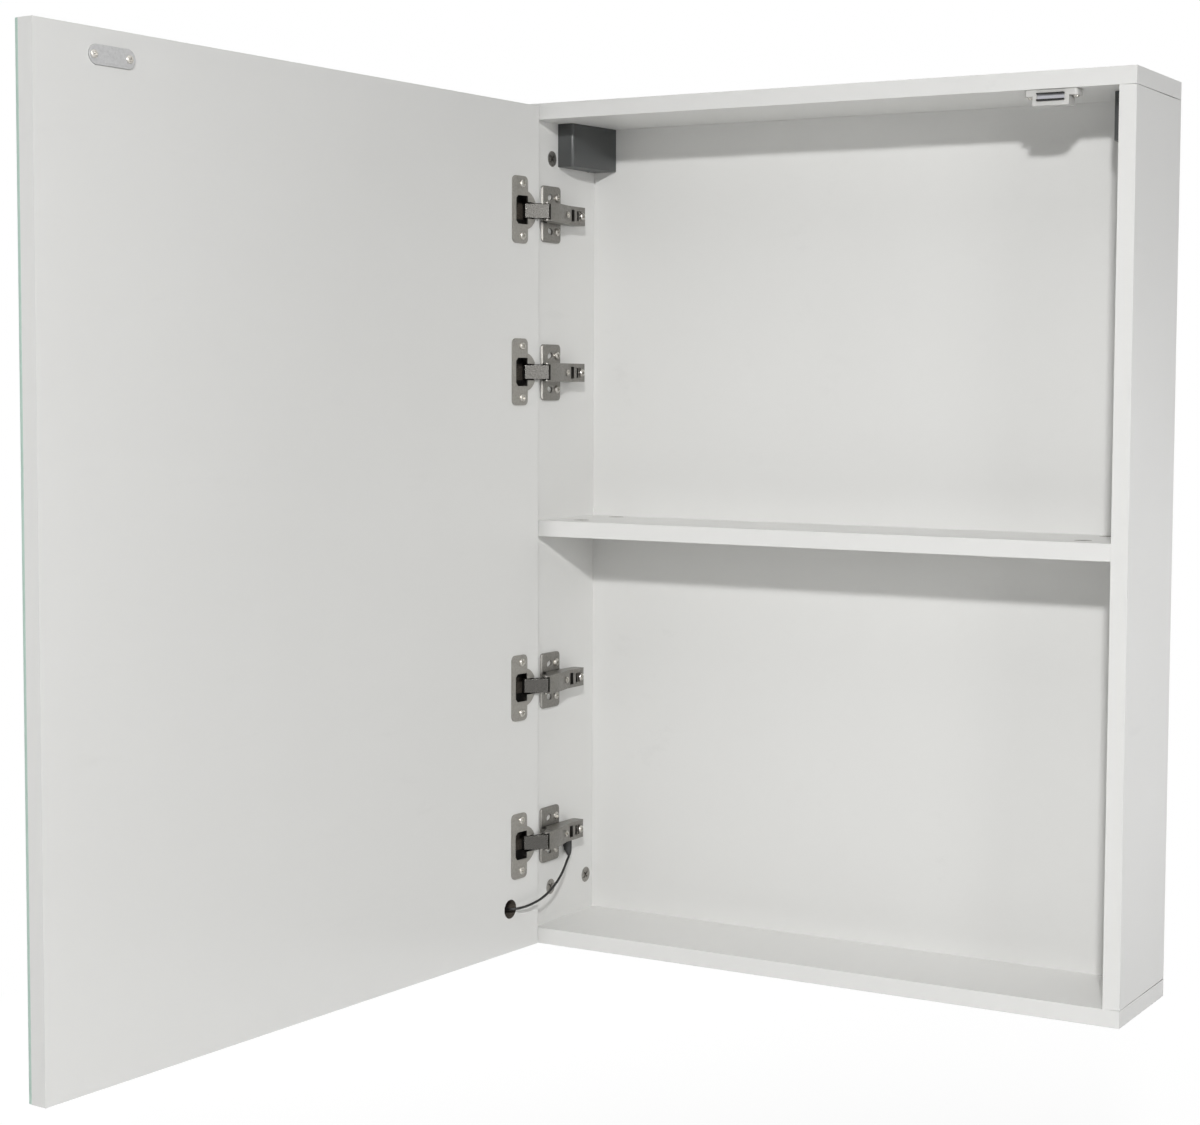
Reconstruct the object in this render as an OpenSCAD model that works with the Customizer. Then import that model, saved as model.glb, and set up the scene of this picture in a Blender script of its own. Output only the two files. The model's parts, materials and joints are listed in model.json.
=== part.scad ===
/* [Cabinet] */
// Height of the cabinet box
cabinet_h = 800; // [760:5:900]
// Width of the cabinet box
cabinet_w = 600; // [540:5:700]
// Depth of the cabinet box, without the door
cabinet_d = 120; // [118:1:160]
// Thickness of the laminated board
board_t = 15; // [15:0.5:18]
// Height of the shelf's top face above the middle of the cabinet
shelf_rise = 7.5; // [-20:0.5:30]
// Gap between the shelf and the back panel
shelf_back_gap = 0.2; // [0.1:0.1:2]

/* [Back panel] */
// Thickness of the back panel
back_t = 3; // [2.5:0.1:4]
// Distance from the rear edges of the cabinet to the back panel
back_inset = 13; // [11:0.5:15]
// Depth of the groove that holds the back panel
groove_depth = 5; // [3:0.5:7]
// Clearance of the back panel in its groove
groove_gap = 0.1; // [0.05:0.05:0.3]

/* [Board fittings] */
// Diameter of the cams
cam_d = 15; // [12:0.5:15]
// Depth of the cam bores
cam_depth = 12.5; // [11:0.1:13.5]
// Distance from a board's end to the centre of its cams
cam_inset = 34; // [24:1:34]
// Distance from the front edge to the front cams
cam_front = 28; // [20:1:37]
// Distance from the back panel to the rear cams
cam_rear = 12; // [9:0.5:14]
// Diameter of the threaded end of the cam bolts
bolt_thread_d = 6; // [5:0.5:7]
// Length of the threaded end of the cam bolts
bolt_thread_l = 11; // [8:0.5:12]
// Diameter of the cam bolts' shank
bolt_shank_d = 5; // [4:0.5:6]
// Diameter of the cam bolts' head
bolt_head_d = 7; // [6.5:0.25:7.5]
// Diameter of the holes round the cam bolts
bolt_hole_d = 8; // [7.8:0.1:9]
// Diameter of the wooden dowels
dowel_d = 8; // [6:0.5:9]
// Length of a dowel in the upright board
dowel_in = 14; // [10:1:20]
// Length of a dowel in the top or bottom board
dowel_out = 11; // [8:0.5:12]

/* [Door] */
// Opening angle at which the door stands
door_opening = 93.8; // [86:0.2:100]
// Thickness of the door board
door_board_t = 15; // [15:0.5:19]
// Thickness of the mirror
mirror_t = 3; // [2:0.5:5]
// Thickness of the glue line between the mirror and the door board
glue_t = 0.1; // [0.05:0.05:0.3]
// Overlap of the closed door over each side panel
door_overlay = 14; // [13.5:0.25:14.5]
// Gap between the closed door and the cabinet's front edges
door_gap = 2; // [1.8:0.1:2.2]
// Distance from the top of the door to the top of the cabinet
door_top_gap = 4; // [2:0.5:8]
// Distance from the bottom of the door to the bottom of the cabinet
door_bottom_gap = 3; // [2:0.5:8]
// Width of the heating pad behind the mirror
pad_w = 240; // [180:5:300]
// Height of the heating pad behind the mirror
pad_h = 420; // [300:5:500]
// Thickness of the heating pad
pad_t = 1; // [0.5:0.1:1.5]
// Width of the heating pad's tail
pad_tail_w = 14; // [12:1:20]
// Diameter of the cable hole in the door
cable_hole_d = 18; // [16:0.5:20]
// Distance from the door's hinged edge to the cable hole
cable_hole_u = 42.5; // [40:0.5:46]
// Height of the cable hole above the underside of the cabinet
cable_hole_h = 44; // [40:0.5:50]

/* [Hinges] */
// Distance from each end of the cabinet to its outermost hinge
hinge_end_inset = 102; // [96:1:120]
// Distance between the hinges of a pair
hinge_spacing = 150; // [120:1:180]
// Distance from the side panel to the inner link's pivot on the arm
inner_pivot_out = 18.4; // [18.2:0.1:18.6]
// Distance of that pivot in front of the cabinet
inner_pivot_front = 9.2; // [9:0.1:9.4]
// Distance from the side panel to the outer link's pivot on the arm
outer_pivot_out = 14; // [13.8:0.1:14.2]
// Distance of that pivot behind the cabinet's front edge
outer_pivot_back = 3; // [2.8:0.1:3.4]
// Distance from the door's edge to the centre of the cup
cup_edge_distance = 23.2; // [22.8:0.1:23.4]
// Diameter of the cup hole
cup_hole_d = 35; // [34.9:0.1:35.4]
// Depth of the cup hole
cup_hole_depth = 12.5; // [12.4:0.1:13]
// Wall of the cup
cup_wall = 0.8; // [0.6:0.1:0.9]
// Thickness of the cup's flange
flange_t = 1.2; // [1:0.1:1.4]
// Length of the cup's flange along the door
flange_l = 62; // [58:1:66]
// Distance between the cup's screws
cup_screw_spacing = 48; // [45:0.5:50]
// Distance between the mounting plate's screws
plate_screw_spacing = 32; // [30:0.5:36]
// Thickness of the mounting plate's wings
plate_t = 2; // [1.6:0.1:2.4]
// Length of the mounting plate's wings along the side panel
plate_l = 53.2; // [50:0.2:60]
// Thickness of the arm's sheet
arm_sheet = 1.4; // [1.2:0.05:1.5]
// Width of the arm
arm_w = 17.5; // [17.3:0.1:17.7]
// Radius of the pin that carries the outer link on the arm
outer_pin_r = 1.5; // [1.2:0.1:1.6]
// Radius of the pin that carries the inner link on the arm
inner_pin_r = 1.25; // [1:0.05:1.3]
// Radius of the pins in the cup
cup_pin_r = 1; // [0.8:0.05:1.1]

/* [Hangers] */
// Height of the cabinet's top above the line it hangs on
hang_drop = 36; // [34:1:44]
// Thickness of the hanger's body
hanger_t = 14; // [13.5:0.5:15]
// Thickness of the hook
hook_t = 3; // [2:0.25:3.5]
// Height of the hook's arm
hook_h = 8; // [6:0.5:10]
// Wall of the hanger's cover
cover_wall = 1.5; // [1:0.1:1.8]
// Width of the cover at its front
cover_front_w = 17.5; // [17.3:0.1:20]
// Width of the cover at its rear
cover_rear_w = 25; // [22:0.5:28]
// Height of the cover
cover_h = 41; // [39:0.5:46]

/* [Catch] */
// Distance from the right side panel to the middle of the catch
catch_inset = 60; // [45:1:80]
// Width of the catch's body
catch_w = 32; // [30:0.5:34]
// Width of the catch over its ears
catch_ear_w = 47; // [46:0.5:52]
// Height of the catch's body
catch_h = 13.5; // [13:0.1:15]
// Depth of the catch's body
catch_d = 15; // [14:0.5:20]
// Length of the magnet
magnet_w = 24; // [20:0.5:26]
// Height of the magnet
magnet_h = 4; // [3:0.1:5]
// Thickness of each pole plate
pole_t = 1.2; // [0.8:0.1:1.5]
// Length of the striker plate
striker_l = 45; // [44:0.5:50]
// Height of the striker plate
striker_h = 15; // [14:0.5:17]
// Thickness of the striker plate
striker_t = 1.5; // [1:0.1:1.8]

/* [Cable] */
// Diameter of the cable
cable_d = 2.4; // [2:0.1:2.8]

/* [Hidden] */
$fn = 48;

// Radial gaps: pieces that are pressed or screwed together, and pieces that turn
fixed_fit = 0.02;
running_fit = 0.05;
// How far a cut runs past the face it opens
over = 1;

// Planes of the box; the line that the cabinet hangs on is at z = 0, the wall is at y = 0
top_z = hang_drop;
bottom_z = hang_drop - cabinet_h;
ceiling_z = top_z - board_t;
floor_z = bottom_z + board_t;
side_in = cabinet_w / 2 - board_t;
front_y = -cabinet_d;
back_front_y = -back_inset - back_t;
shelf_z = (top_z + bottom_z) / 2 + shelf_rise - board_t;

laminate = [0.86, 0.86, 0.84];
nickel = [0.66, 0.65, 0.62];
dark_plastic = [0.3, 0.31, 0.31];

// Rows of fittings along the depth
cam_rows = [front_y + cam_front, back_front_y - cam_rear];
dowel_row = (cam_rows[0] + cam_rows[1]) / 2;
cam_gap = 0.1;
cam_slot_l = 9;
cam_slot_w = 1.6;
cam_slot_depth = 2;
bolt_head_l = 4;
dowel_end_gap = 1;

// Linkage: the door turns against the inner link, and both links turn against the arm
inner_ratio = 0.33738;
outer_ratio = 0.3108;
reference_opening = 93.8;
function door_turn(opening) = opening / (1 - inner_ratio);
pivot_b = [inner_pivot_out, -inner_pivot_front];
pivot_a = [outer_pivot_out, outer_pivot_back];
// Pivots in the door, from its hinged edge and its inner face
pivot_d_from_cup = 10.9;
pivot_d_depth = 6;
pivot_c_from_cup = 15.7;
pivot_c_depth = 6.5;
door_d = [cup_edge_distance - pivot_d_from_cup, -pivot_d_depth];
door_c = [cup_edge_distance - pivot_c_from_cup, -pivot_c_depth];
closed_edge = [-door_overlay, -door_gap];
closed_link = closed_edge + door_d - pivot_b;
link_l = norm(closed_link);
link_angle = atan2(closed_link[1], closed_link[0]) + inner_ratio * door_turn(door_opening);
outer_turn = outer_ratio * (door_turn(door_opening) - door_turn(reference_opening));
function turned(p, a) = [p[0] * cos(a) - p[1] * sin(a), p[0] * sin(a) + p[1] * cos(a)];
pin_d_place = pivot_b + link_l * [cos(link_angle), sin(link_angle)];
// Hinged edge of the open door, from the side panel's inner face and the cabinet's front
open_edge = pin_d_place - turned(door_d, -door_opening);

hinge_heights = [
    top_z - hinge_end_inset, top_z - hinge_end_inset - hinge_spacing,
    bottom_z + hinge_end_inset + hinge_spacing, bottom_z + hinge_end_inset
];

// Layers of the hinge, each a distance from its middle plane
arm_half = arm_w / 2;
arm_inner = arm_half - arm_sheet;
outer_link_out = arm_inner - 0.15;
outer_link_in = outer_link_out - 0.7;
inner_link_out = outer_link_in - 0.25;
inner_link_sheet = 1.2;
inner_link_in = inner_link_out - inner_link_sheet;
boss_half = inner_link_in - 0.25;
c_pin_half = boss_half + 0.2;
d_pin_half = inner_link_out - 0.05;

// Side view of the arm, from the side panel's inner face and the cabinet's front
arm_top = 20.8;
arm_tail_top = 14.5;
arm_bottom = 3;
arm_bend_y = 8;
arm_slope_end_y = 35;
arm_tail_y = 64;
arm_nose_r = 2.4;
arm_shoulder_r = 3.2;
side_screw_y = 32;
side_screw_d = 5.5;
arm_slot_y = [39.8, 45.5];
arm_slot_half = 5.6;
arm_key_y = [49.8, 57];
arm_key_half = 4.7;
arm_key_slot_half = 2.2;
fixing_screw_y = 58.5;
fixing_head_d = 7;
fixing_head_l = 2.2;
fixing_shank_d = 4;

// Mounting plate
plate_front_y = 8;
plate_wing_end_y = 39.9;
plate_lip = 1.4;
rib_key_end_y = 55.4;
rib_half = 6.9;
rib_front_top = 11;
rib_step_y = 38;
rib_end_y = 62;
rib_top = arm_tail_top - arm_sheet - 0.05;
plate_corner_r = 4;
plate_screw_y = 34;
plate_screw_head_d = 7.5;
plate_slot_y = 22;
plate_slot_w = 5.5;
plate_slot_l = 8.5;
plate_slot_tilt = 20;
wood_screw_d = 4;
plate_screw_l = 12;

// Cup
cup_r = cup_hole_d / 2 - 0.05;
cup_depth = cup_hole_depth - 0.2;
window_half = arm_inner + 0.25;
wall_notch_depth = 4.5;
boss_u = 14.4;
boss_top = 4;
boss_bottom = 8.2;
flange_disc_r = 18;
flange_wing_u = [18.3, 41.4];
flange_corner_r = 5;
flange_open_u = [18.5, 36];
flange_open_half = 13.2;
flange_open_chamfer = 3;
cup_screw_u = 26;
cup_screw_head_d = 7.2;
cup_screw_l = 11;

// Catch and striker
catch_front_gap = 2;
catch_ear_h = 5.5;
catch_screw_x = 19.75;
catch_screw_head_d = 6;
magnet_drop = 6.3;
striker_clearance = 0.1;
striker_drop = 9;
striker_screw_x = 17.25;
striker_screw_head_d = 6.5;
pole_tip_y = front_y - door_gap + striker_t + striker_clearance;
catch_x = side_in - catch_inset;

// Hangers, from the side panel's inner face, the wall and the hanging line
hanger_y = [-76, -18];
hanger_z = [-14, 17];
hook_x = 9.5;
hook_front_y = -60;
hook_rear_y = -2;
hook_lip_t = 3;
hook_lip_drop = 8;
hook_gap = 0.1;
hanger_screw_ys = [-58, -44];
hanger_screw_z = -7;
hanger_screw_head_d = 8;
hanger_screw_head_l = 3;
hanger_screw_d = 4.5;
hanger_screw_in = 12;
adjuster_xs = [4.5, 11];
adjuster_z = 4;
adjuster_d = 5;
adjuster_head_d = 6.4;
adjuster_head_l = 2.2;
cover_y = [-82, back_front_y];
cover_edge_r = 3.5;
notch_side_gap = 3;
notch_bottom_gap = 3;

// Cable boot, on the left side panel
boot_t = 10;
boot_half_w = 6.5;
boot_mouth_half_w = 2.6;
boot_y = front_y + 53;
boot_mouth_z = bottom_z + 76;
boot_shoulder_z = bottom_z + 81;
boot_top_z = bottom_z + 92;
boot_stem_d = 6;
boot_stem_l = 8;
terminal_d = 11;
terminal_h = 4.85;

// Cable route from the terminal in the door to the boot, from the side panel's inner face,
// the cabinet's front and its underside
cable_points = [
    [-1.1, -53.2, 44], [4, -53.5, 44], [8, -53.4, 44.1], [11.7, -51.3, 44.3],
    [14.8, -46, 44.6], [16.8, -38, 45.1], [17.9, -28, 46.2], [18.4, -18, 47.8],
    [18.3, -8, 50.2], [17.6, 2, 53.2], [16.3, 12, 56.8], [14.4, 21.5, 60.4],
    [12, 30.5, 64], [9.3, 38.5, 67.2], [7, 45, 70], [5.6, 49.6, 72.4],
    [5.1, 52.2, 74], [5, 53, 75.4], [5, 53, 76]
];
cable_sides = 8;

// Children on both ends of the cabinet's width
module left_and_right() {
    children();
    mirror([1, 0, 0]) children();
}

// Where the upright boards meet the top and bottom boards; +Z runs out of the upright's end
module at_panel_corners(rows) {
    for (up = [0, 1], right = [0, 1], y = rows)
        translate([(right * 2 - 1) * (side_in + board_t / 2), y, up == 1 ? ceiling_z : floor_z])
            mirror([0, 0, 1 - up]) mirror([1 - right, 0, 0]) children();
}

// Where the shelf's ends meet the upright boards; +Z runs into the upright
module at_shelf_ends(rows) {
    for (right = [0, 1], y = rows)
        mirror([1 - right, 0, 0])
            translate([side_in, y, shelf_z + board_t / 2]) rotate([0, 90, 0]) children();
}

// Frame of each hinge: x from the side panel's inner face, y from the cabinet's front
module at_hinge(number) {
    translate([-side_in, front_y, hinge_heights[number - 1]]) children();
}

// Frame of the door: x from its hinged edge, y from its inner face, z as the cabinet's
module on_door() {
    translate([open_edge[0] - side_in, open_edge[1] + front_y, 0])
        rotate([0, 0, -door_opening]) children();
}

module at_all_hinges() {
    for (number = [1:4]) at_hinge(number) children();
}

module at_all_cups() {
    for (z = hinge_heights) on_door() translate([cup_edge_distance, 0, z]) children();
}

// Flat bar with round ends, seen from above
module strap(from, to, r) {
    along = (to - from) / norm(to - from);
    across = r * [-along[1], along[0]];
    polygon([from + across, from - across, to - across, to + across]);
    translate(from) circle(r = r);
    translate(to) circle(r = r);
}

module rounded_rectangle(low, high, r) {
    polygon([
        for (corner = [[high, [1, 1], 0], [[low[0], high[1]], [-1, 1], 90],
                       [low, [-1, -1], 180], [[high[0], low[1]], [1, -1], 270]])
            for (a = [0:15:90])
                corner[0] - r * corner[1] + r * [cos(corner[2] + a), sin(corner[2] + a)]
    ]);
}

// Screw along +Z with the underside of its head at z = 0
module screw(d, l, head_d, head_l) {
    edge = head_l * 0.35;
    difference() {
        rotate_extrude() polygon([
            [0, -l], [d / 4, -l], [d / 2, -l + d / 2], [d / 2, 0], [head_d / 2, 0],
            [head_d / 2, head_l - edge], [head_d / 2 - edge * 1.5, head_l], [0, head_l]
        ]);
        screw_cross(head_d * 0.55, head_l);
    }
}

module screw_cross(l, head_l) {
    w = l * 0.26;
    depth = head_l * 0.6;
    for (a = [0, 90]) rotate([0, 0, a])
        translate([-l / 2, -w / 2, head_l - depth]) cube([l, w, depth + over]);
}

module screw_hole(d, l) {
    translate([0, 0, -l]) cylinder(r = d / 2 + fixed_fit, h = l + over);
}

module cam_bore() {
    translate([-board_t / 2 - over, 0, -cam_inset]) rotate([0, 90, 0])
        cylinder(d = cam_d, h = cam_depth + over);
}

module bolt_bore() {
    translate([0, 0, -cam_inset]) cylinder(d = bolt_hole_d, h = cam_inset + over);
}

module bolt_thread_bore() {
    translate([0, 0, -over]) cylinder(r = bolt_thread_d / 2 + fixed_fit, h = bolt_thread_l + over);
}

module dowel_bore() {
    translate([0, 0, -dowel_in - dowel_end_gap])
        cylinder(r = dowel_d / 2 + fixed_fit, h = dowel_in + dowel_out + 2 * dowel_end_gap);
}

module cam() {
    difference() {
        translate([-board_t / 2, 0, -cam_inset]) rotate([0, 90, 0])
            cylinder(r = cam_d / 2 - fixed_fit, h = cam_depth - cam_gap);
        translate([0, 0, -cam_inset - bolt_head_l])
            cylinder(d = bolt_head_d + 0.6, h = cam_d);
        for (a = [45, 135]) translate([-board_t / 2, 0, -cam_inset]) rotate([a, 0, 0])
            translate([-over, -cam_slot_l / 2, -cam_slot_w / 2])
                cube([cam_slot_depth + over, cam_slot_l, cam_slot_w]);
    }
}

module cam_bolt() {
    cylinder(d = bolt_thread_d, h = bolt_thread_l - cam_gap);
    translate([0, 0, -cam_inset]) cylinder(d = bolt_shank_d, h = cam_inset + 0.5);
    translate([0, 0, -cam_inset - bolt_head_l / 2]) cylinder(d = bolt_head_d, h = bolt_head_l);
}

// Top board, or the bottom board when it is turned over
module end_board(z, inner_z, up) {
    difference() {
        translate([-cabinet_w / 2, front_y, z]) cube([cabinet_w, cabinet_d, board_t]);
        translate([-side_in - groove_depth, back_front_y - groove_gap,
                   up ? inner_z - over : inner_z - groove_depth])
            cube([2 * (side_in + groove_depth), back_t + 2 * groove_gap, groove_depth + over]);
        at_panel_corners(cam_rows) bolt_thread_bore();
        at_panel_corners([dowel_row]) dowel_bore();
        children();
    }
}

module top_panel() {
    color(laminate) end_board(ceiling_z, ceiling_z, true) at_catch_screws()
        screw_hole(wood_screw_d, catch_screw_l());
}

module bottom_panel() {
    color(laminate) end_board(bottom_z, floor_z, false);
}

// Right-hand upright; the left one is its mirror image before the hinge holes
module side_board() {
    difference() {
        translate([side_in, front_y, floor_z]) cube([board_t, cabinet_d, ceiling_z - floor_z]);
        translate([side_in - over, back_front_y - groove_gap, floor_z - over])
            cube([groove_depth + over, back_t + 2 * groove_gap, ceiling_z - floor_z + 2 * over]);
        at_panel_corners(cam_rows) {
            cam_bore();
            bolt_bore();
        }
        at_panel_corners([dowel_row]) dowel_bore();
        at_shelf_ends(cam_rows) bolt_thread_bore();
        at_hanger_screws() screw_hole(hanger_screw_d, hanger_screw_l());
    }
}

module right_side_panel() {
    color(laminate) side_board();
}

module left_side_panel() {
    color(laminate) difference() {
        mirror([1, 0, 0]) side_board();
        at_all_hinges() at_plate_screws() screw_hole(wood_screw_d, plate_screw_l);
        at_boot_stem() cylinder(r = boot_stem_d / 2 + fixed_fit, h = boot_stem_l + cam_gap);
    }
}

module back_panel() {
    half_w = side_in + groove_depth - groove_gap;
    low_z = floor_z - groove_depth + groove_gap;
    high_z = ceiling_z + groove_depth - groove_gap;
    notch_x = side_in - cover_rear_w + notch_side_gap;
    notch_z = ceiling_z - cover_h + notch_bottom_gap;
    color(laminate) translate([0, back_front_y + back_t, 0]) rotate([90, 0, 0])
        linear_extrude(back_t) polygon([
            [-half_w, low_z], [half_w, low_z], [half_w, notch_z], [notch_x, notch_z],
            [notch_x, high_z], [-notch_x, high_z], [-notch_x, notch_z], [-half_w, notch_z]
        ]);
}

module shelf() {
    color(laminate) difference() {
        translate([-side_in, front_y, shelf_z])
            cube([2 * side_in, back_front_y - shelf_back_gap - front_y, board_t]);
        at_shelf_ends(cam_rows) {
            cam_bore();
            bolt_bore();
        }
    }
}

module panel_cams() {
    color(nickel) at_panel_corners(cam_rows) cam();
}

module panel_cam_bolts() {
    color(nickel) at_panel_corners(cam_rows) cam_bolt();
}

module shelf_cams() {
    color(nickel) at_shelf_ends(cam_rows) cam();
}

module shelf_cam_bolts() {
    color(nickel) at_shelf_ends(cam_rows) cam_bolt();
}

module wood_dowels() {
    color("burlywood") at_panel_corners([dowel_row]) translate([0, 0, -dowel_in])
        cylinder(d = dowel_d, h = dowel_in + dowel_out);
}

// Left hanger's frame, from the side panel's inner face
module at_left_hanger() {
    translate([-side_in, 0, 0]) children();
}

module at_hanger_screws() {
    left_and_right() at_left_hanger()
        for (y = hanger_screw_ys) translate([hanger_t - hanger_screw_head_l, y, hanger_screw_z])
            rotate([0, 90, 0]) children();
}

function hanger_screw_l() = hanger_t - hanger_screw_head_l + hanger_screw_in;

module at_adjusters() {
    left_and_right() at_left_hanger()
        for (x = adjuster_xs) translate([x, hanger_y[0], adjuster_z]) rotate([90, 0, 0]) children();
}

function adjuster_l() = hook_front_y - hanger_y[0] - hook_gap;

module left_hanger_body_shape() {
    difference() {
        translate([-side_in, hanger_y[0], hanger_z[0]])
            cube([hanger_t, hanger_y[1] - hanger_y[0], hanger_z[1] - hanger_z[0]]);
        at_left_hanger() translate([hook_x - hook_gap, hook_front_y - hook_gap, -hook_gap])
            cube([hook_t + 2 * hook_gap, hanger_y[1] - hook_front_y + over, hook_h + 2 * hook_gap]);
        at_hanger_screws() {
            screw_hole(hanger_screw_d, hanger_screw_l());
            cylinder(r = hanger_screw_head_d / 2 + fixed_fit, h = hanger_screw_head_l + over);
        }
        at_adjusters() screw_hole(adjuster_d, adjuster_l());
    }
}

module left_hanger_body() {
    color([0.7, 0.7, 0.7]) left_hanger_body_shape();
}

module right_hanger_body() {
    color([0.7, 0.7, 0.7]) mirror([1, 0, 0]) left_hanger_body_shape();
}

// Flat hook that reaches through the notch in the back panel
module left_hanger_hook_shape() {
    at_left_hanger() translate([hook_x, 0, 0]) rotate([90, 0, 90]) linear_extrude(hook_t)
        polygon([
            [hook_front_y, 0], [hook_rear_y - hook_lip_t, 0],
            [hook_rear_y - hook_lip_t, -hook_lip_drop], [hook_rear_y, -hook_lip_drop],
            [hook_rear_y, hook_h - 2], [hook_rear_y - 2, hook_h], [hook_front_y, hook_h]
        ]);
}

module left_hanger_hook() {
    color("silver") left_hanger_hook_shape();
}

module right_hanger_hook() {
    color("silver") mirror([1, 0, 0]) left_hanger_hook_shape();
}

// Plan of the cover: straight front with a rounded edge, then widening to the rear
function cover_plan(inset) = concat(
    [[-over, cover_y[0] + inset]],
    [for (a = [-90:15:0]) [cover_front_w - cover_edge_r + (cover_edge_r - inset) * cos(a),
                           cover_y[0] + cover_edge_r + (cover_edge_r - inset) * sin(a)]],
    [[cover_rear_w - inset, cover_y[1] + (inset > 0 ? over : 0)],
     [-over, cover_y[1] + (inset > 0 ? over : 0)]]
);

module left_hanger_cover_shape() {
    at_left_hanger() intersection() {
        translate([0, 0, ceiling_z - cover_h]) difference() {
            linear_extrude(cover_h) polygon(cover_plan(0));
            translate([0, 0, cover_wall]) linear_extrude(cover_h) polygon(cover_plan(cover_wall));
        }
        translate([0, cover_y[0], ceiling_z - cover_h])
            cube([cover_rear_w, cover_y[1] - cover_y[0], cover_h]);
    }
}

module left_hanger_cover() {
    color(dark_plastic) left_hanger_cover_shape();
}

module right_hanger_cover() {
    color(dark_plastic) mirror([1, 0, 0]) left_hanger_cover_shape();
}

module hanger_screws() {
    color("silver") at_hanger_screws()
        screw(hanger_screw_d, hanger_screw_l() - cam_gap, hanger_screw_head_d, hanger_screw_head_l);
}

module hanger_adjusters() {
    color("silver") at_adjusters()
        screw(adjuster_d, adjuster_l() - cam_gap, adjuster_head_d, adjuster_head_l);
}

// Catch, hung under the top board
module at_catch() {
    translate([catch_x, front_y + catch_front_gap, ceiling_z]) children();
}

function catch_screw_l() = catch_ear_h + 9;

module at_catch_screws() {
    at_catch() for (x = [-catch_screw_x, catch_screw_x])
        translate([x, catch_d / 2, -catch_ear_h]) rotate([180, 0, 0]) children();
}

magnet_pocket_h = magnet_h + 2 * pole_t + 2 * cam_gap;
magnet_pocket_d = catch_d - 3;

module catch_housing() {
    color("white") difference() {
        union() {
            at_catch() translate([-catch_w / 2, 0, -catch_h]) cube([catch_w, catch_d, catch_h]);
            at_catch() translate([0, 0, -catch_ear_h]) linear_extrude(catch_ear_h)
                rounded_rectangle([-catch_ear_w / 2, 0], [catch_ear_w / 2, catch_d], 3);
        }
        at_catch() translate([-magnet_w / 2 - cam_gap, -over, -magnet_drop - magnet_pocket_h / 2])
            cube([magnet_w + 2 * cam_gap, magnet_pocket_d + over, magnet_pocket_h]);
        at_catch_screws() screw_hole(wood_screw_d, catch_screw_l());
    }
}

module catch_magnet() {
    color("dimgray") at_catch() translate([-magnet_w / 2, over, -magnet_drop - magnet_h / 2])
        cube([magnet_w, magnet_pocket_d - over - cam_gap, magnet_h]);
}

module catch_pole_plates() {
    tip = pole_tip_y - front_y - catch_front_gap;
    color("silver") at_catch() for (z = [magnet_h / 2, -magnet_h / 2 - pole_t])
        translate([-magnet_w / 2, tip, z - magnet_drop])
            cube([magnet_w, magnet_pocket_d - cam_gap - tip, pole_t]);
}

module catch_screws() {
    color("silver") at_catch_screws()
        screw(wood_screw_d, catch_screw_l() - cam_gap, catch_screw_head_d, 1.8);
}

// Mounting plate: two wings on the side panel and a raised rib for the arm
module at_plate_screws() {
    for (z = [-plate_screw_spacing / 2, plate_screw_spacing / 2])
        translate([plate_t, plate_screw_y, z]) rotate([0, 90, 0]) children();
}

module mounting_plate() {
    color(nickel) difference() {
        union() {
            rotate([0, 90, 0]) linear_extrude(plate_t)
                rounded_rectangle([-plate_l / 2, plate_front_y],
                                  [plate_l / 2, plate_wing_end_y], plate_corner_r);
            translate([0, plate_front_y, -rib_half])
                cube([rib_front_top, rib_end_y - plate_front_y, 2 * rib_half]);
            translate([0, rib_step_y, -rib_half])
                cube([rib_top, rib_end_y - rib_step_y, 2 * rib_half]);
        }
        at_plate_screws() screw_hole(wood_screw_d, plate_screw_l);
        for (side = [-1, 1])
            translate([-over, plate_slot_y, side * plate_screw_spacing / 2])
                rotate([side * plate_slot_tilt, 0, 0]) rotate([0, 90, 0])
                    linear_extrude(plate_t + 2 * over)
                        strap([0, -(plate_slot_l - plate_slot_w) / 2],
                              [0, (plate_slot_l - plate_slot_w) / 2], plate_slot_w / 2);
        translate([plate_t + over, arm_slot_y[0] - 0.5, -arm_slot_half])
            cube([rib_top, arm_slot_y[1] - arm_slot_y[0] + 1, 2 * arm_slot_half]);
        translate([plate_t + over, arm_key_y[0], -arm_key_half])
            cube([rib_top, rib_key_end_y - arm_key_y[0], 2 * arm_key_half]);
        for (side = [0, 1]) mirror([0, 0, side]) translate([0, plate_front_y, rib_half])
            linear_extrude(plate_l) polygon([
                [plate_t - plate_lip, -over], [plate_t + over, -over],
                [plate_t + over, plate_lip + over], [plate_t - plate_lip, 0]
            ]);
        at_fixing_screw() screw_hole(fixing_shank_d, fixing_screw_l());
    }
}

module at_fixing_screw() {
    translate([arm_tail_top, fixing_screw_y, 0]) rotate([0, 90, 0]) children();
}

function fixing_screw_l() = arm_tail_top - plate_t - over;

// Height of the arm's top face over the side panel, where the adjusting screw sits
function arm_top_at(y) = arm_top + (arm_tail_top - arm_top) * (y - arm_bend_y)
                                   / (arm_slope_end_y - arm_bend_y);

module arm_outline() {
    polygon([
        [arm_top, -6], [arm_top, arm_bend_y], [arm_tail_top, arm_slope_end_y],
        [arm_tail_top, arm_tail_y], [arm_bottom + 2, arm_tail_y], [arm_bottom, arm_tail_y - 3],
        [arm_bottom, plate_front_y + 6], [pivot_a[0] - arm_shoulder_r, pivot_a[1] + 1],
        [pivot_a[0] - 2.6, pivot_a[1] - 2], [pivot_b[0] - arm_nose_r, pivot_b[1]],
        pivot_b + arm_nose_r * [cos(-60), sin(-60)]
    ]);
    translate(pivot_b) circle(r = arm_nose_r);
    translate(pivot_a) circle(r = arm_shoulder_r);
}

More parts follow.
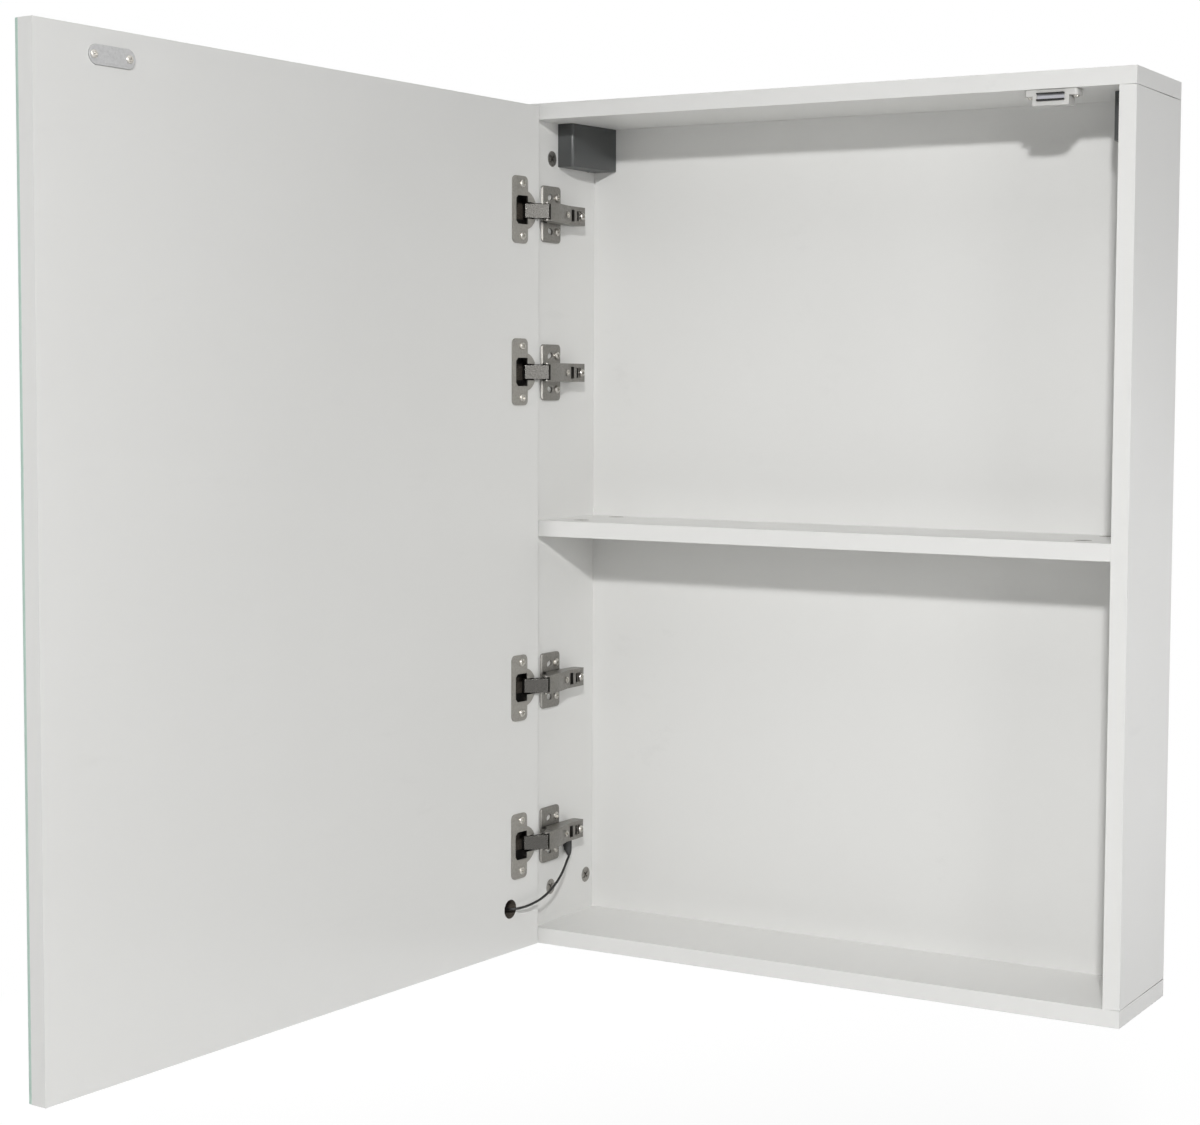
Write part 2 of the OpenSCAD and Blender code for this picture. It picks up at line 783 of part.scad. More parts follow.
// Space under the arm's web, between its cheeks
module arm_hollow() {
    top = arm_top - arm_sheet;
    tail_top = arm_tail_top - arm_sheet;
    polygon([
        [top, -20], [top, arm_bend_y], [tail_top, arm_slope_end_y], [tail_top, arm_tail_y + over],
        [-over, arm_tail_y + over], [-over, -20]
    ]);
}

module arm() {
    color(nickel) difference() {
        translate([0, 0, -arm_half]) linear_extrude(arm_w) arm_outline();
        translate([0, 0, -arm_inner]) linear_extrude(2 * arm_inner) arm_hollow();
        translate([arm_top - 5, -20, -arm_inner]) cube([10, 14, 2 * arm_inner]);
        for (pin = [[pivot_a, outer_pin_r], [pivot_b, inner_pin_r]])
            translate([pin[0][0], pin[0][1], -arm_w])
                cylinder(r = pin[1] + fixed_fit, h = 2 * arm_w);
        translate([arm_top_at(side_screw_y) - 5, side_screw_y, 0]) rotate([0, 90, 0])
            cylinder(r = side_screw_d / 2 + fixed_fit, h = 10);
        translate([rib_top - over, arm_slot_y[0], -arm_slot_half])
            cube([4, arm_slot_y[1] - arm_slot_y[0], 2 * arm_slot_half]);
        translate([rib_top - over, arm_key_y[0], -arm_key_half])
            cube([4, arm_key_y[1] - arm_key_y[0], 2 * arm_key_half]);
        translate([rib_top - over, arm_key_y[1] - over, -arm_key_slot_half])
            cube([4, arm_tail_y - arm_key_y[1] + 2 * over, 2 * arm_key_slot_half]);
    }
}

// Outer link: two hooked plates joined by a barrel on the arm's rear pin
outer_link_bends = [[0, 0], [-1, -11], [0.7, -17], [-1.4, -23.6]];
outer_link_tip = [-3, -23.9];
outer_link_r = [2.2, 1.3, 1, 1];

module outer_link_outline() {
    for (i = [0:2]) strap(outer_link_bends[i], outer_link_bends[i + 1], outer_link_r[i + 1]);
    strap(outer_link_bends[3], outer_link_tip, 0.9);
    circle(r = outer_link_r[0]);
}

module outer_link() {
    color(nickel) translate([pivot_a[0], pivot_a[1], 0]) rotate([0, 0, outer_turn]) difference() {
        union() {
            for (z = [-outer_link_out, outer_link_in])
                translate([0, 0, z]) linear_extrude(outer_link_out - outer_link_in)
                    outer_link_outline();
            translate([0, 0, -outer_link_out])
                cylinder(r = outer_link_r[0] + 0.2, h = 2 * outer_link_out);
        }
        translate([0, 0, -arm_w]) cylinder(r = outer_pin_r + running_fit, h = 2 * arm_w);
    }
}

// Inner link: a channel with its web on the side that shows; x runs from the cup to the arm
module inner_link_outline() {
    web = 4.7;
    polygon([
        [-2.1, 0], [-1.2, -web], [link_l + 0.86, -web], [link_l + 2.36, 0],
        [link_l - 2.34, 0], [link_l - 4.64, -3.4], [5, -3.4], [2.1, 0]
    ]);
    circle(r = 2.1);
    translate([link_l, 0]) circle(r = 2.4);
}

module inner_link() {
    color("silver") translate([pin_d_place[0], pin_d_place[1], 0])
        rotate([0, 0, link_angle + 180]) difference() {
            translate([0, 0, -inner_link_out]) linear_extrude(2 * inner_link_out)
                inner_link_outline();
            translate([-5, -3.5, -inner_link_in]) cube([link_l + 10, 10, 2 * inner_link_in]);
            translate([0, 0, -arm_w]) cylinder(r = cup_pin_r + running_fit, h = 2 * arm_w);
            translate([link_l, 0, -arm_w])
                cylinder(r = inner_pin_r + running_fit, h = 2 * arm_w);
        }
}

// Cup frame: x from the cup's middle away from the hinged edge, y from the door's inner face
module cup() {
    color(nickel) difference() {
        union() {
            difference() {
                rotate([90, 0, 0]) cylinder(r = cup_r, h = cup_depth);
                translate([0, over, 0]) rotate([90, 0, 0])
                    cylinder(r = cup_r - cup_wall, h = cup_depth - cup_wall + over);
                translate([-cup_r - over, -wall_notch_depth, -window_half])
                    cube([cup_r, wall_notch_depth + over, 2 * window_half]);
                translate([-cup_r + 3, -cup_depth - over, -window_half])
                    cube([2 * cup_r - 6, 3, 2 * window_half]);
            }
            rotate([-90, 0, 0]) linear_extrude(flange_t) flange_outline();
            intersection() {
                translate([-cup_r, -boss_bottom, -boss_half])
                    cube([boss_u - cup_edge_distance + cup_r,
                          boss_bottom - boss_top, 2 * boss_half]);
                rotate([90, 0, 0]) cylinder(r = cup_r - cup_wall / 2, h = cup_depth);
            }
        }
        for (pivot = [[door_d, cup_pin_r], [door_c, cup_pin_r]])
            translate([pivot[0][0] - cup_edge_distance, pivot[0][1], -arm_w])
                cylinder(r = pivot[1] + fixed_fit, h = 2 * arm_w);
        at_cup_screws() screw_hole(wood_screw_d, cup_screw_l);
    }
}

// Flange seen from the cabinet: a disc with two wings, open over the cup
module flange_outline() {
    wing_low = flange_wing_u[0] - cup_edge_distance;
    wing_high = flange_wing_u[1] - cup_edge_distance;
    open_low = flange_open_u[0] - cup_edge_distance;
    open_high = flange_open_u[1] - cup_edge_distance;
    cut = flange_open_chamfer;
    difference() {
        union() {
            circle(r = flange_disc_r);
            rounded_rectangle([wing_low, -flange_l / 2], [wing_high, flange_l / 2],
                              flange_corner_r);
        }
        polygon([
            [open_low, -flange_open_half], [open_high - cut, -flange_open_half],
            [open_high, -flange_open_half + cut], [open_high, flange_open_half - cut],
            [open_high - cut, flange_open_half], [open_low, flange_open_half]
        ]);
        translate([-flange_disc_r - over, -window_half])
            square([open_low + flange_disc_r + 2 * over, 2 * window_half]);
    }
}

module at_cup_screws() {
    for (z = [-cup_screw_spacing / 2, cup_screw_spacing / 2])
        translate([cup_screw_u - cup_edge_distance, flange_t, z]) rotate([-90, 0, 0]) children();
}

module plate_screws() {
    color("silver") at_all_hinges() at_plate_screws()
        screw(wood_screw_d, plate_screw_l - cam_gap, plate_screw_head_d, 1.8);
}

module arm_side_screws() {
    top = arm_top_at(side_screw_y);
    color("silver") at_all_hinges() translate([rib_front_top + 0.05, side_screw_y, 0])
        rotate([0, 90, 0]) difference() {
            cylinder(d = side_screw_d, h = top - rib_front_top + over);
            translate([0, 0, top - rib_front_top - over]) screw_cross(3.6, 2);
        }
}

module arm_fixing_screws() {
    color("silver") at_all_hinges() at_fixing_screw()
        screw(fixing_shank_d, fixing_screw_l() - cam_gap, fixing_head_d, fixing_head_l);
}

module arm_pins() {
    color("silver") at_all_hinges() for (pin = [[pivot_a, outer_pin_r], [pivot_b, inner_pin_r]])
        translate([pin[0][0], pin[0][1], -arm_half]) cylinder(r = pin[1], h = arm_w);
}

module cup_pins() {
    color("silver") at_all_cups() for (pin = [[door_d, d_pin_half], [door_c, c_pin_half]])
        translate([pin[0][0] - cup_edge_distance, pin[0][1], -pin[1]])
            cylinder(r = cup_pin_r, h = 2 * pin[1]);
}

module cup_screws() {
    color("silver") at_all_cups() at_cup_screws()
        screw(wood_screw_d, cup_screw_l - cam_gap, cup_screw_head_d, 1.6);
}

door_w = cabinet_w - 2 * (board_t - door_overlay);
door_low_z = bottom_z + door_bottom_gap;
door_h = cabinet_h - door_bottom_gap - door_top_gap;
cable_hole_z = bottom_z + cable_hole_h;
striker_u = door_overlay + side_in + catch_x;
striker_z = ceiling_z - striker_drop;

// Heating pad with a tail that runs down and across to the cable hole
module pad_outline(gap) {
    half_tail = pad_tail_w / 2;
    low_z = door_low_z + (door_h - pad_h) / 2;
    left_u = (door_w - pad_w) / 2;
    translate([left_u - gap, low_z - gap]) square([pad_w + 2 * gap, pad_h + 2 * gap]);
    translate([left_u - gap, cable_hole_z - half_tail - gap])
        square([pad_tail_w + 2 * gap, low_z - cable_hole_z + half_tail + gap + over]);
    translate([cable_hole_u - half_tail - gap, cable_hole_z - half_tail - gap])
        square([left_u - cable_hole_u + pad_tail_w + half_tail, pad_tail_w + 2 * gap]);
}

module at_striker_screws() {
    for (x = [-striker_screw_x, striker_screw_x])
        translate([striker_u + x, striker_t, striker_z]) rotate([-90, 0, 0]) children();
}

function striker_screw_l() = striker_t + 10;

module door_board() {
    color(laminate) on_door() difference() {
        translate([0, -door_board_t, door_low_z]) cube([door_w, door_board_t, door_h]);
        for (z = hinge_heights) translate([cup_edge_distance, 0, z]) {
            translate([0, over, 0]) rotate([90, 0, 0])
                cylinder(d = cup_hole_d, h = cup_hole_depth + over);
            at_cup_screws() screw_hole(wood_screw_d, cup_screw_l);
        }
        translate([0, -door_board_t + pad_t + 2 * groove_gap, 0]) rotate([90, 0, 0])
            linear_extrude(pad_t + 2 * groove_gap + over) pad_outline(groove_gap);
        translate([cable_hole_u, over, cable_hole_z]) rotate([90, 0, 0])
            cylinder(d = cable_hole_d, h = door_board_t + 2 * over);
        at_striker_screws() screw_hole(wood_screw_d, striker_screw_l());
    }
}

module mirror_glass() {
    color("lightblue") on_door() translate([0, -door_board_t - glue_t - mirror_t, door_low_z])
        cube([door_w, mirror_t, door_h]);
}

module heating_pad() {
    color("black") on_door() translate([0, -door_board_t + pad_t, 0]) rotate([90, 0, 0])
        linear_extrude(pad_t) pad_outline(0);
}

// Terminal on the heating pad's tail, at the bottom of the cable hole
module pad_terminal() {
    color("black") on_door() translate([cable_hole_u, -door_board_t + pad_t, cable_hole_z])
        rotate([-90, 0, 0]) cylinder(d = terminal_d, h = terminal_h);
}

module striker_plate() {
    half = (striker_l - striker_h) / 2;
    color("silver") on_door() difference() {
        translate([striker_u, 0, striker_z]) rotate([-90, 0, 0])
            linear_extrude(striker_t) strap([-half, 0], [half, 0], striker_h / 2);
        at_striker_screws() screw_hole(wood_screw_d, striker_screw_l());
    }
}

module striker_screws() {
    color("silver") on_door() at_striker_screws()
        screw(wood_screw_d, striker_screw_l() - cam_gap, striker_screw_head_d, 1.2);
}

module at_boot_stem() {
    translate([-side_in, boot_y, (boot_shoulder_z + boot_top_z) / 2]) rotate([0, -90, 0]) children();
}

// Rubber boot on the left side panel, open downwards for the cable
module cable_boot() {
    color(dark_plastic) {
        translate([-side_in, boot_y, 0]) rotate([90, 0, 90]) linear_extrude(boot_t) polygon([
            [-boot_mouth_half_w, boot_mouth_z], [boot_mouth_half_w, boot_mouth_z],
            [boot_half_w, boot_shoulder_z], [boot_half_w, boot_top_z - 2],
            [boot_half_w - 2, boot_top_z], [-boot_half_w + 2, boot_top_z],
            [-boot_half_w, boot_top_z - 2], [-boot_half_w, boot_shoulder_z]
        ]);
        at_boot_stem() cylinder(d = boot_stem_d, h = boot_stem_l);
    }
}

// Tube along the cable's points: one ring of corners at each point
cable_reference = [1, -1, 0] / norm([1, -1, 0]);
function unit(v) = v / norm(v);
function cable_direction(i) =
    unit(cable_points[min(i + 1, len(cable_points) - 1)] - cable_points[max(i - 1, 0)]);
function cable_ring(i) =
    let (along = cable_direction(i),
         side = unit(cross(along, cable_reference)),
         up = cross(side, along),
         middle = cable_points[i] + [-side_in, front_y, bottom_z])
    [for (k = [0:cable_sides - 1])
        middle + cable_d / 2 * (cos(360 * k / cable_sides) * side
                                + sin(360 * k / cable_sides) * up)];

module door_cable() {
    rings = len(cable_points);
    corners = [for (i = [0:rings - 1]) each cable_ring(i)];
    walls = [
        for (i = [0:rings - 2], k = [0:cable_sides - 1])
            let (a = i * cable_sides + k,
                 b = i * cable_sides + (k + 1) % cable_sides)
            each [[a, b, b + cable_sides], [a, b + cable_sides, a + cable_sides]]
    ];
    first_end = [[for (k = [cable_sides - 1:-1:0]) k]];
    last_end = [[for (k = [0:cable_sides - 1]) (rings - 1) * cable_sides + k]];
    color("black") polyhedron(points = corners, faces = concat(walls, first_end, last_end));
}

top_panel();
bottom_panel();
left_side_panel();
right_side_panel();
back_panel();
shelf();
panel_cams();
panel_cam_bolts();
shelf_cams();
shelf_cam_bolts();
wood_dowels();
left_hanger_body();
right_hanger_body();
left_hanger_hook();
right_hanger_hook();
left_hanger_cover();
right_hanger_cover();
hanger_screws();
hanger_adjusters();
catch_housing();
catch_magnet();
catch_pole_plates();
catch_screws();
at_hinge(1) mounting_plate();  // hinge_1_mounting_plate
at_hinge(2) mounting_plate();  // hinge_2_mounting_plate
at_hinge(3) mounting_plate();  // hinge_3_mounting_plate
at_hinge(4) mounting_plate();  // hinge_4_mounting_plate
at_hinge(1) arm();  // hinge_1_arm
at_hinge(2) arm();  // hinge_2_arm
at_hinge(3) arm();  // hinge_3_arm
at_hinge(4) arm();  // hinge_4_arm
plate_screws();
arm_side_screws();
arm_fixing_screws();
arm_pins();
at_hinge(1) inner_link();  // hinge_1_inner_link
at_hinge(2) inner_link();  // hinge_2_inner_link
at_hinge(3) inner_link();  // hinge_3_inner_link
at_hinge(4) inner_link();  // hinge_4_inner_link
at_hinge(1) outer_link();  // hinge_1_outer_link
at_hinge(2) outer_link();  // hinge_2_outer_link
at_hinge(3) outer_link();  // hinge_3_outer_link
at_hinge(4) outer_link();  // hinge_4_outer_link
on_door() translate([cup_edge_distance, 0, hinge_heights[0]]) cup();  // hinge_1_cup
on_door() translate([cup_edge_distance, 0, hinge_heights[1]]) cup();  // hinge_2_cup
on_door() translate([cup_edge_distance, 0, hinge_heights[2]]) cup();  // hinge_3_cup
on_door() translate([cup_edge_distance, 0, hinge_heights[3]]) cup();  // hinge_4_cup
cup_screws();
cup_pins();
door_board();
mirror_glass();
heating_pad();
pad_terminal();
striker_plate();
striker_screws();
cable_boot();
door_cable();
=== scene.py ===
import json
import math

import bmesh
import bpy
from mathutils import Matrix, Vector


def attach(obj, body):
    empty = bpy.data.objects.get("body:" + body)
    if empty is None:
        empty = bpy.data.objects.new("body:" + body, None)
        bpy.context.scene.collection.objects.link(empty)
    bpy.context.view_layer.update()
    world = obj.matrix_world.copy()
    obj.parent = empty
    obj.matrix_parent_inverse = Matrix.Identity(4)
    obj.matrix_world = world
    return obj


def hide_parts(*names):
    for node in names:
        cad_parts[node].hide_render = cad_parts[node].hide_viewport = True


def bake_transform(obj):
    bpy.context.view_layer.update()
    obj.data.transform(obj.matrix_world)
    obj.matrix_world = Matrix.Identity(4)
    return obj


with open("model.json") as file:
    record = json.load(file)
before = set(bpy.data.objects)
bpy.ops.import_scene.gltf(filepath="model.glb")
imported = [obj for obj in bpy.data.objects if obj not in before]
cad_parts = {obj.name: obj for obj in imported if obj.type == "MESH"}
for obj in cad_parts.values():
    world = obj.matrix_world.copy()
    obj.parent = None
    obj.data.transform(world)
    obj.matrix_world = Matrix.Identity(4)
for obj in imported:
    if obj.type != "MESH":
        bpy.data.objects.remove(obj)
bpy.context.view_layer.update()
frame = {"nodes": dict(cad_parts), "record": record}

SLOT_OF = {entry["node"]: entry["material_slot"] for entry in frame["record"]["subparts"]}
BODY_OF = {node: body for body, nodes in frame["record"]["behaviour"]["bodies"].items()
           for node in nodes}
MM = 0.001

# Camera, fitted to the photographed corners; its angles are in degrees
PHOTO_WIDTH_PX = 1200
CAMERA_PLACE = (0.896228, -1.917269, -0.228302)
CAMERA_YAW = 28.938
CAMERA_PITCH = -3.766
CAMERA_ROLL = 0.3905
CAMERA_FOCAL_PX = 2256.23
CAMERA_CENTRE_PX = (107.67, -27.57)
SENSOR_MM = 36.0

# Lamps: place, aim, width and height in metres, power in watts
LAMPS = {
    "key_lamp": ((1.13, -2.35, 0.69), (0.6, -1.45, -1.5), 0.16, 0.16, 58.0),
    "side_lamp": ((2.6, -1.6, 0.0), (0, -0.2, -0.36), 0.6, 0.6, 12.5),
    "top_lamp": ((0.2, -1.4, 2.0), (0, -0.1, -0.4), 1.4, 1.4, 11.5),
    "rear_lamp": ((2.5, 3.0, -0.8), (0.3, -0.06, -0.4), 1.6, 1.6, 34.0),
    "door_lamp": ((-0.7, -1.8, -0.3), (-0.3, -0.7, -0.4), 0.6, 0.6, 1.9),
    "left_lamp": ((-2.4, 2.0, 0.4), (-0.2, 0, -0.4), 1.6, 1.6, 34.0),
}
WHITE = (1.0, 1.0, 1.0, 1.0)
SKY_STRENGTH = 0.02

# Floor: share and strength of its glow near the object, and the distances from its middle
# between which it turns into the plain white background
FLOOR_MIDDLE = (0, -0.3, -1.25)
FLOOR_RADIUS = 2.6
FLOOR_SIDES = 96
FLOOR_COLOUR = (0.86, 0.86, 0.85, 1.0)
FLOOR_ROUGHNESS = 0.7
FLOOR_GLOW_SHARE = 0.62
FLOOR_GLOW_STRENGTH = 1.25
FLOOR_FADE = (0.7, 2.2)

# Cable from the terminal in the door to the boot, in millimetres from the left side panel's
# inner face, the cabinet's front and its underside; its two lengths meet at point CABLE_SPLIT
CABLE_ORIGIN = (-0.285, -0.12, -0.764)
CABLE_POINTS = [
    (-1.1, -53.2, 44), (4, -53.5, 44), (8, -53.4, 44.1), (11.7, -51.3, 44.3),
    (14.8, -46, 44.6), (16.8, -38, 45.1), (17.9, -28, 46.2), (18.4, -18, 47.8),
    (18.3, -8, 50.2), (17.6, 2, 53.2), (16.3, 12, 56.8), (14.4, 21.5, 60.4),
    (12, 30.5, 64), (9.3, 38.5, 67.2), (7, 45, 70), (5.6, 49.6, 72.4),
    (5.1, 52.2, 74), (5, 53, 75.4), (5, 53, 76),
]
CABLE_SPLIT = 10
CABLE_DIAMETER = 2.4 * MM
CABLE_SIDES = 16
CABLE_STEPS = 4

# Boot from its mouth upwards: height above the cabinet's underside, distance from the side
# panel and radius, then its place behind the front and its stem in the panel, in millimetres
BOOT_HEAD_OUT = 3.85
BOOT_RINGS = [
    (76.0, 5.0, 1.5), (76.3, 5.0, 1.8), (78.5, 4.6, 2.7), (80.6, 4.1, 3.5),
    (82.0, BOOT_HEAD_OUT, 3.8), (90.4, BOOT_HEAD_OUT, 3.8), (91.5, BOOT_HEAD_OUT, 3.5),
    (92.0, BOOT_HEAD_OUT, 2.6),
]
BOOT_BEHIND_FRONT = 53.0
BOOT_SIDES = 32
BOOT_STEM_HEIGHT = 86.5
BOOT_STEM_LENGTH = 8.0
BOOT_STEM_RADIUS = 3.0

# Directions that the inner faces of the left side panel and of the open door look in
PANEL_NORMAL = Vector((1, 0, 0))
DOOR_NORMAL = Vector((0.9978, -0.0663, 0))

# A CAD mesh is cleaned: corners this close are one, and faces this flat are joined
MERGE_DISTANCE = 0.002 * MM
JOIN_ANGLE = math.radians(0.05)

# Angles between faces up to which they count as flat, and from which the edge is sharp
FLAT_LIMIT = math.radians(0.5)
SHARP_LIMIT = math.radians(28)

# Radius of the rounding on outward edges; of a link, only the longer edges are rounded
ROUNDING = {
    "board": 0.35 * MM, "back_panel": 0.3 * MM, "hanger_cover": 0.4 * MM,
    "catch_housing": 0.35 * MM, "striker_plate": 0.25 * MM, "mounting_plate": 0.3 * MM,
    "arm": 0.3 * MM, "inner_link": 0.4 * MM, "cup": 0.2 * MM, "mirror": 0.6 * MM,
}
ROUNDING_STEPS = 2
LINK_SHORTEST_EDGE = 2.5 * MM

# Depths below a board's faces and a cup's flange past which their inside begins; past the
# flange's depth the cup's inside gets painted shade
LAMINATE_DEPTH = 0.95 * MM
CUP_RIM_DEPTH = 1.3 * MM

# Gaps at the right board's ends, in the front and rear half of its depth, and the distance
# from the wall at which they have closed
END_GAP_FRONT = 0.4 * MM
END_GAP_REAR = 0.9 * MM
HALF_DEPTH = 0.06
GAP_CLOSES = 2.5 * MM
SAME_LEVEL = 0.01 * MM

# The mirror's face: how straight a face has to look outwards to be silvered
SILVERED_LIMIT = 0.99

BOARDS = ["top_panel", "bottom_panel", "left_side_panel", "right_side_panel", "shelf",
          "door_board"]
HINGES = (1, 2, 3, 4)

# Screws: axis, the head's diameter and height, the shank's diameter and length, and the cross
# recess's length and depth, in millimetres
SCREWS = {
    "cup_screws": (DOOR_NORMAL, (7.2, 1.6), (3.9, 10.8), (4.2, 1.0)),
    "plate_screws": (PANEL_NORMAL, (7.5, 1.8), (3.9, 11.8), (4.4, 1.1)),
    "striker_screws": (DOOR_NORMAL, (6.5, 1.2), (3.9, 11.2), (3.8, 0.8)),
    "arm_fixing_screws": (PANEL_NORMAL, (7.0, 2.2), (3.9, 11.2), (4.2, 1.4)),
}

# How far a shank ends short of the CAD screw's tip, in millimetres
TIP_SHORTER = 0.2

HEAD_SIDES = 40
HEAD_RINGS = 8
SHANK_SIDES = 24
HUB_SIDES = 8

# Shares of a screw head's height: its dome starts this far above its underside, and its
# shank this far below its top; the pull sets how much the dome's rim is drawn in
DOME_START = 0.35
SHANK_START = 0.95
DOME_PULL = 1.3

# Shares of the cross recess's length: the width of its blades and the radius of its hub
BLADE_WIDTH = 0.22
HUB_RADIUS = 0.24

# Angle in radians from which a screw's edge stays sharp, and the seed of the screws' turns
CRISP_ANGLE = 0.5
SPIN_SEED = 7

WARM_WHITE = (1.0, 0.998, 0.978)
NEUTRAL = (1.0, 1.0, 1.0)
NICKEL = (1.0, 0.965, 0.90)


def add_object(name, data):
    """A new object in the scene."""
    item = bpy.data.objects.new(name, data)
    bpy.context.scene.collection.objects.link(item)
    return item


def make_camera():
    """Camera at the photo's angle, with its centre shifted as the photo's crop has it."""
    data = bpy.data.cameras.new("photo_camera")
    data.sensor_fit = "HORIZONTAL"
    data.sensor_width = SENSOR_MM
    data.lens = CAMERA_FOCAL_PX * SENSOR_MM / PHOTO_WIDTH_PX
    data.shift_x = -CAMERA_CENTRE_PX[0] / PHOTO_WIDTH_PX
    data.shift_y = CAMERA_CENTRE_PX[1] / PHOTO_WIDTH_PX
    camera = add_object("photo_camera", data)
    turn = (Matrix.Rotation(math.radians(CAMERA_YAW), 4, "Z")
            @ Matrix.Rotation(math.radians(90 + CAMERA_PITCH), 4, "X")
            @ Matrix.Rotation(math.radians(CAMERA_ROLL), 4, "Z"))
    camera.matrix_world = Matrix.Translation(CAMERA_PLACE) @ turn
    bpy.context.scene.camera = camera


class Recipe:
    """A node tree being built: adds nodes, sets their sockets and joins them."""

    def __init__(self, tree):
        self.tree = tree

    def add(self, kind, properties=None, **sockets):
        """A new node; its sockets are named with an underscore for each space."""
        node = self.tree.nodes.new(kind)
        for name, value in (properties or {}).items():
            setattr(node, name, value)
        for name, value in sockets.items():
            self.put(node.inputs[name.replace("_", " ")], value)
        return node

    def put(self, socket, value):
        """Join another node's output to a socket, or set the socket to a value."""
        if isinstance(value, bpy.types.NodeSocket):
            self.tree.links.new(value, socket)
        else:
            socket.default_value = value

    def maths(self, operation, first, second=0.0, third=0.0):
        node = self.add("ShaderNodeMath", {"operation": operation})
        for socket, value in zip(node.inputs, (first, second, third)):
            self.put(socket, value)
        return node.outputs[0]

    def blend(self, factor, first, second):
        """A mix of two colours, which are on sockets 6 and 7 and on output 2."""
        node = self.add("ShaderNodeMix", {"data_type": "RGBA"})
        self.put(node.inputs[0], factor)
        self.put(node.inputs[6], first)
        self.put(node.inputs[7], second)
        return node.outputs[2]

    def between(self, value, low, high, from_low=0.0, from_high=1.0):
        """Low to high, as the value goes from one limit to the other."""
        node = self.add("ShaderNodeMapRange")
        for socket, given in zip(node.inputs, (value, from_low, from_high, low, high)):
            self.put(socket, given)
        return node.outputs[0]

    def mask(self, value, start, full):
        """0 to 1, as the value goes from start to full."""
        return self.between(value, 0.0, 1.0, start, full)

    def noise(self, place, scale, detail=2.0, roughness=0.5):
        return self.add("ShaderNodeTexNoise", Vector=place, Scale=scale, Detail=detail,
                        Roughness=roughness).outputs["Fac"]

    def stretched(self, place, scale):
        return self.add("ShaderNodeMapping", Vector=place, Scale=scale).outputs["Vector"]

    def use(self, group, **sockets):
        """A node group with its own values."""
        return self.add("ShaderNodeGroup", {"node_tree": group}, **sockets).outputs

    def seen_directly(self):
        """1 for what the camera, a reflection or glass shows, and 0 for light on the object."""
        path = self.add("ShaderNodeLightPath").outputs
        mirrored = self.maths("MAXIMUM", path["Is Glossy Ray"], path["Is Transmission Ray"])
        return self.maths("MAXIMUM", path["Is Camera Ray"], mirrored)

    def mixed_shaders(self, factor, first, second):
        node = self.add("ShaderNodeMixShader")
        for socket, value in zip(node.inputs, (factor, first, second)):
            self.put(socket, value)
        return node.outputs[0]


def new_group(name, inputs, outputs):
    """An empty shader node group: itself, its recipe, and its given and finished sockets."""
    group = bpy.data.node_groups.new(name, "ShaderNodeTree")
    group.interface.new_socket("Place", in_out="INPUT", socket_type="NodeSocketVector")
    for label, value in inputs:
        socket = group.interface.new_socket(label, in_out="INPUT", socket_type="NodeSocketFloat")
        socket.default_value = value
    for label in outputs:
        group.interface.new_socket(label, in_out="OUTPUT", socket_type="NodeSocketFloat")
    recipe = Recipe(group)
    given, out = recipe.add("NodeGroupInput"), recipe.add("NodeGroupOutput")
    return group, recipe, given.outputs, out.inputs


def make_handling_group():
    """Faint clouding and rub marks, as masks that change over the surface."""
    group, recipe, given, out = new_group(
        "handling_marks", [("Cloud Scale", 4.0), ("Mark Scale", 30.0), ("Mark Amount", 0.5)],
        ["Cloud", "Marks"])
    place = given["Place"]
    cloud = recipe.noise(place, given["Cloud Scale"], detail=3.0)
    streaks = recipe.noise(recipe.stretched(place, (1.0, 0.35, 1.6)), given["Mark Scale"],
                           detail=5.0, roughness=0.65)
    patches = recipe.noise(place, 7.0, detail=1.0)
    marks = recipe.maths("MULTIPLY", recipe.mask(streaks, 0.58, 0.72),
                         recipe.mask(patches, 0.5, 0.7))
    recipe.put(out["Cloud"], recipe.mask(cloud, 0.3, 0.7))
    recipe.put(out["Marks"], recipe.maths("MULTIPLY", marks, given["Mark Amount"]))
    return group


def make_grain_group():
    """Fine pearl of a pressed or moulded surface, as a height."""
    group, recipe, given, out = new_group("surface_grain", [("Grain Scale", 900.0)], ["Height"])
    place, scale = given["Place"], given["Grain Scale"]
    cells = recipe.add("ShaderNodeTexVoronoi", {"feature": "SMOOTH_F1"},
                       Vector=place, Scale=scale).outputs["Distance"]
    pores = recipe.noise(place, recipe.maths("MULTIPLY", scale, 2.1))
    recipe.put(out["Height"], recipe.maths("MULTIPLY_ADD", cells, 0.6, pores))
    return group


def make_sheet_metal_group():
    """Drawing lines and tarnish of pressed sheet metal."""
    group, recipe, given, out = new_group(
        "sheet_metal", [("Line Scale", 800.0), ("Tarnish Scale", 120.0)], ["Lines", "Tarnish"])
    place = given["Place"]
    lines = recipe.noise(recipe.stretched(place, (1.0, 0.08, 1.0)), given["Line Scale"],
                         detail=3.0, roughness=0.6)
    tarnish = recipe.noise(place, given["Tarnish Scale"], detail=4.0, roughness=0.6)
    recipe.put(out["Lines"], recipe.mask(lines, 0.3, 0.7))
    recipe.put(out["Tarnish"], recipe.mask(tarnish, 0.42, 0.68))
    return group


HANDLING = make_handling_group()
GRAIN = make_grain_group()
SHEET_METAL = make_sheet_metal_group()


def start_material(name):
    """A new material: its recipe, its Principled shader's sockets and the object coordinates."""
    material = bpy.data.materials.new(name)
    material.use_nodes = True
    material.node_tree.nodes.clear()
    recipe = Recipe(material.node_tree)
    shader = recipe.add("ShaderNodeBsdfPrincipled")
    recipe.add("ShaderNodeOutputMaterial", Surface=shader.outputs["BSDF"])
    place = recipe.add("ShaderNodeTexCoord").outputs["Object"]
    return material, recipe, shader, place


def add_bump(recipe, shader, height, depth):
    """Let a height of the given depth shape the surface's normals."""
    bump = recipe.add("ShaderNodeBump", Strength=1.0, Distance=depth, Height=height)
    recipe.put(shader.inputs["Normal"], bump.outputs["Normal"])


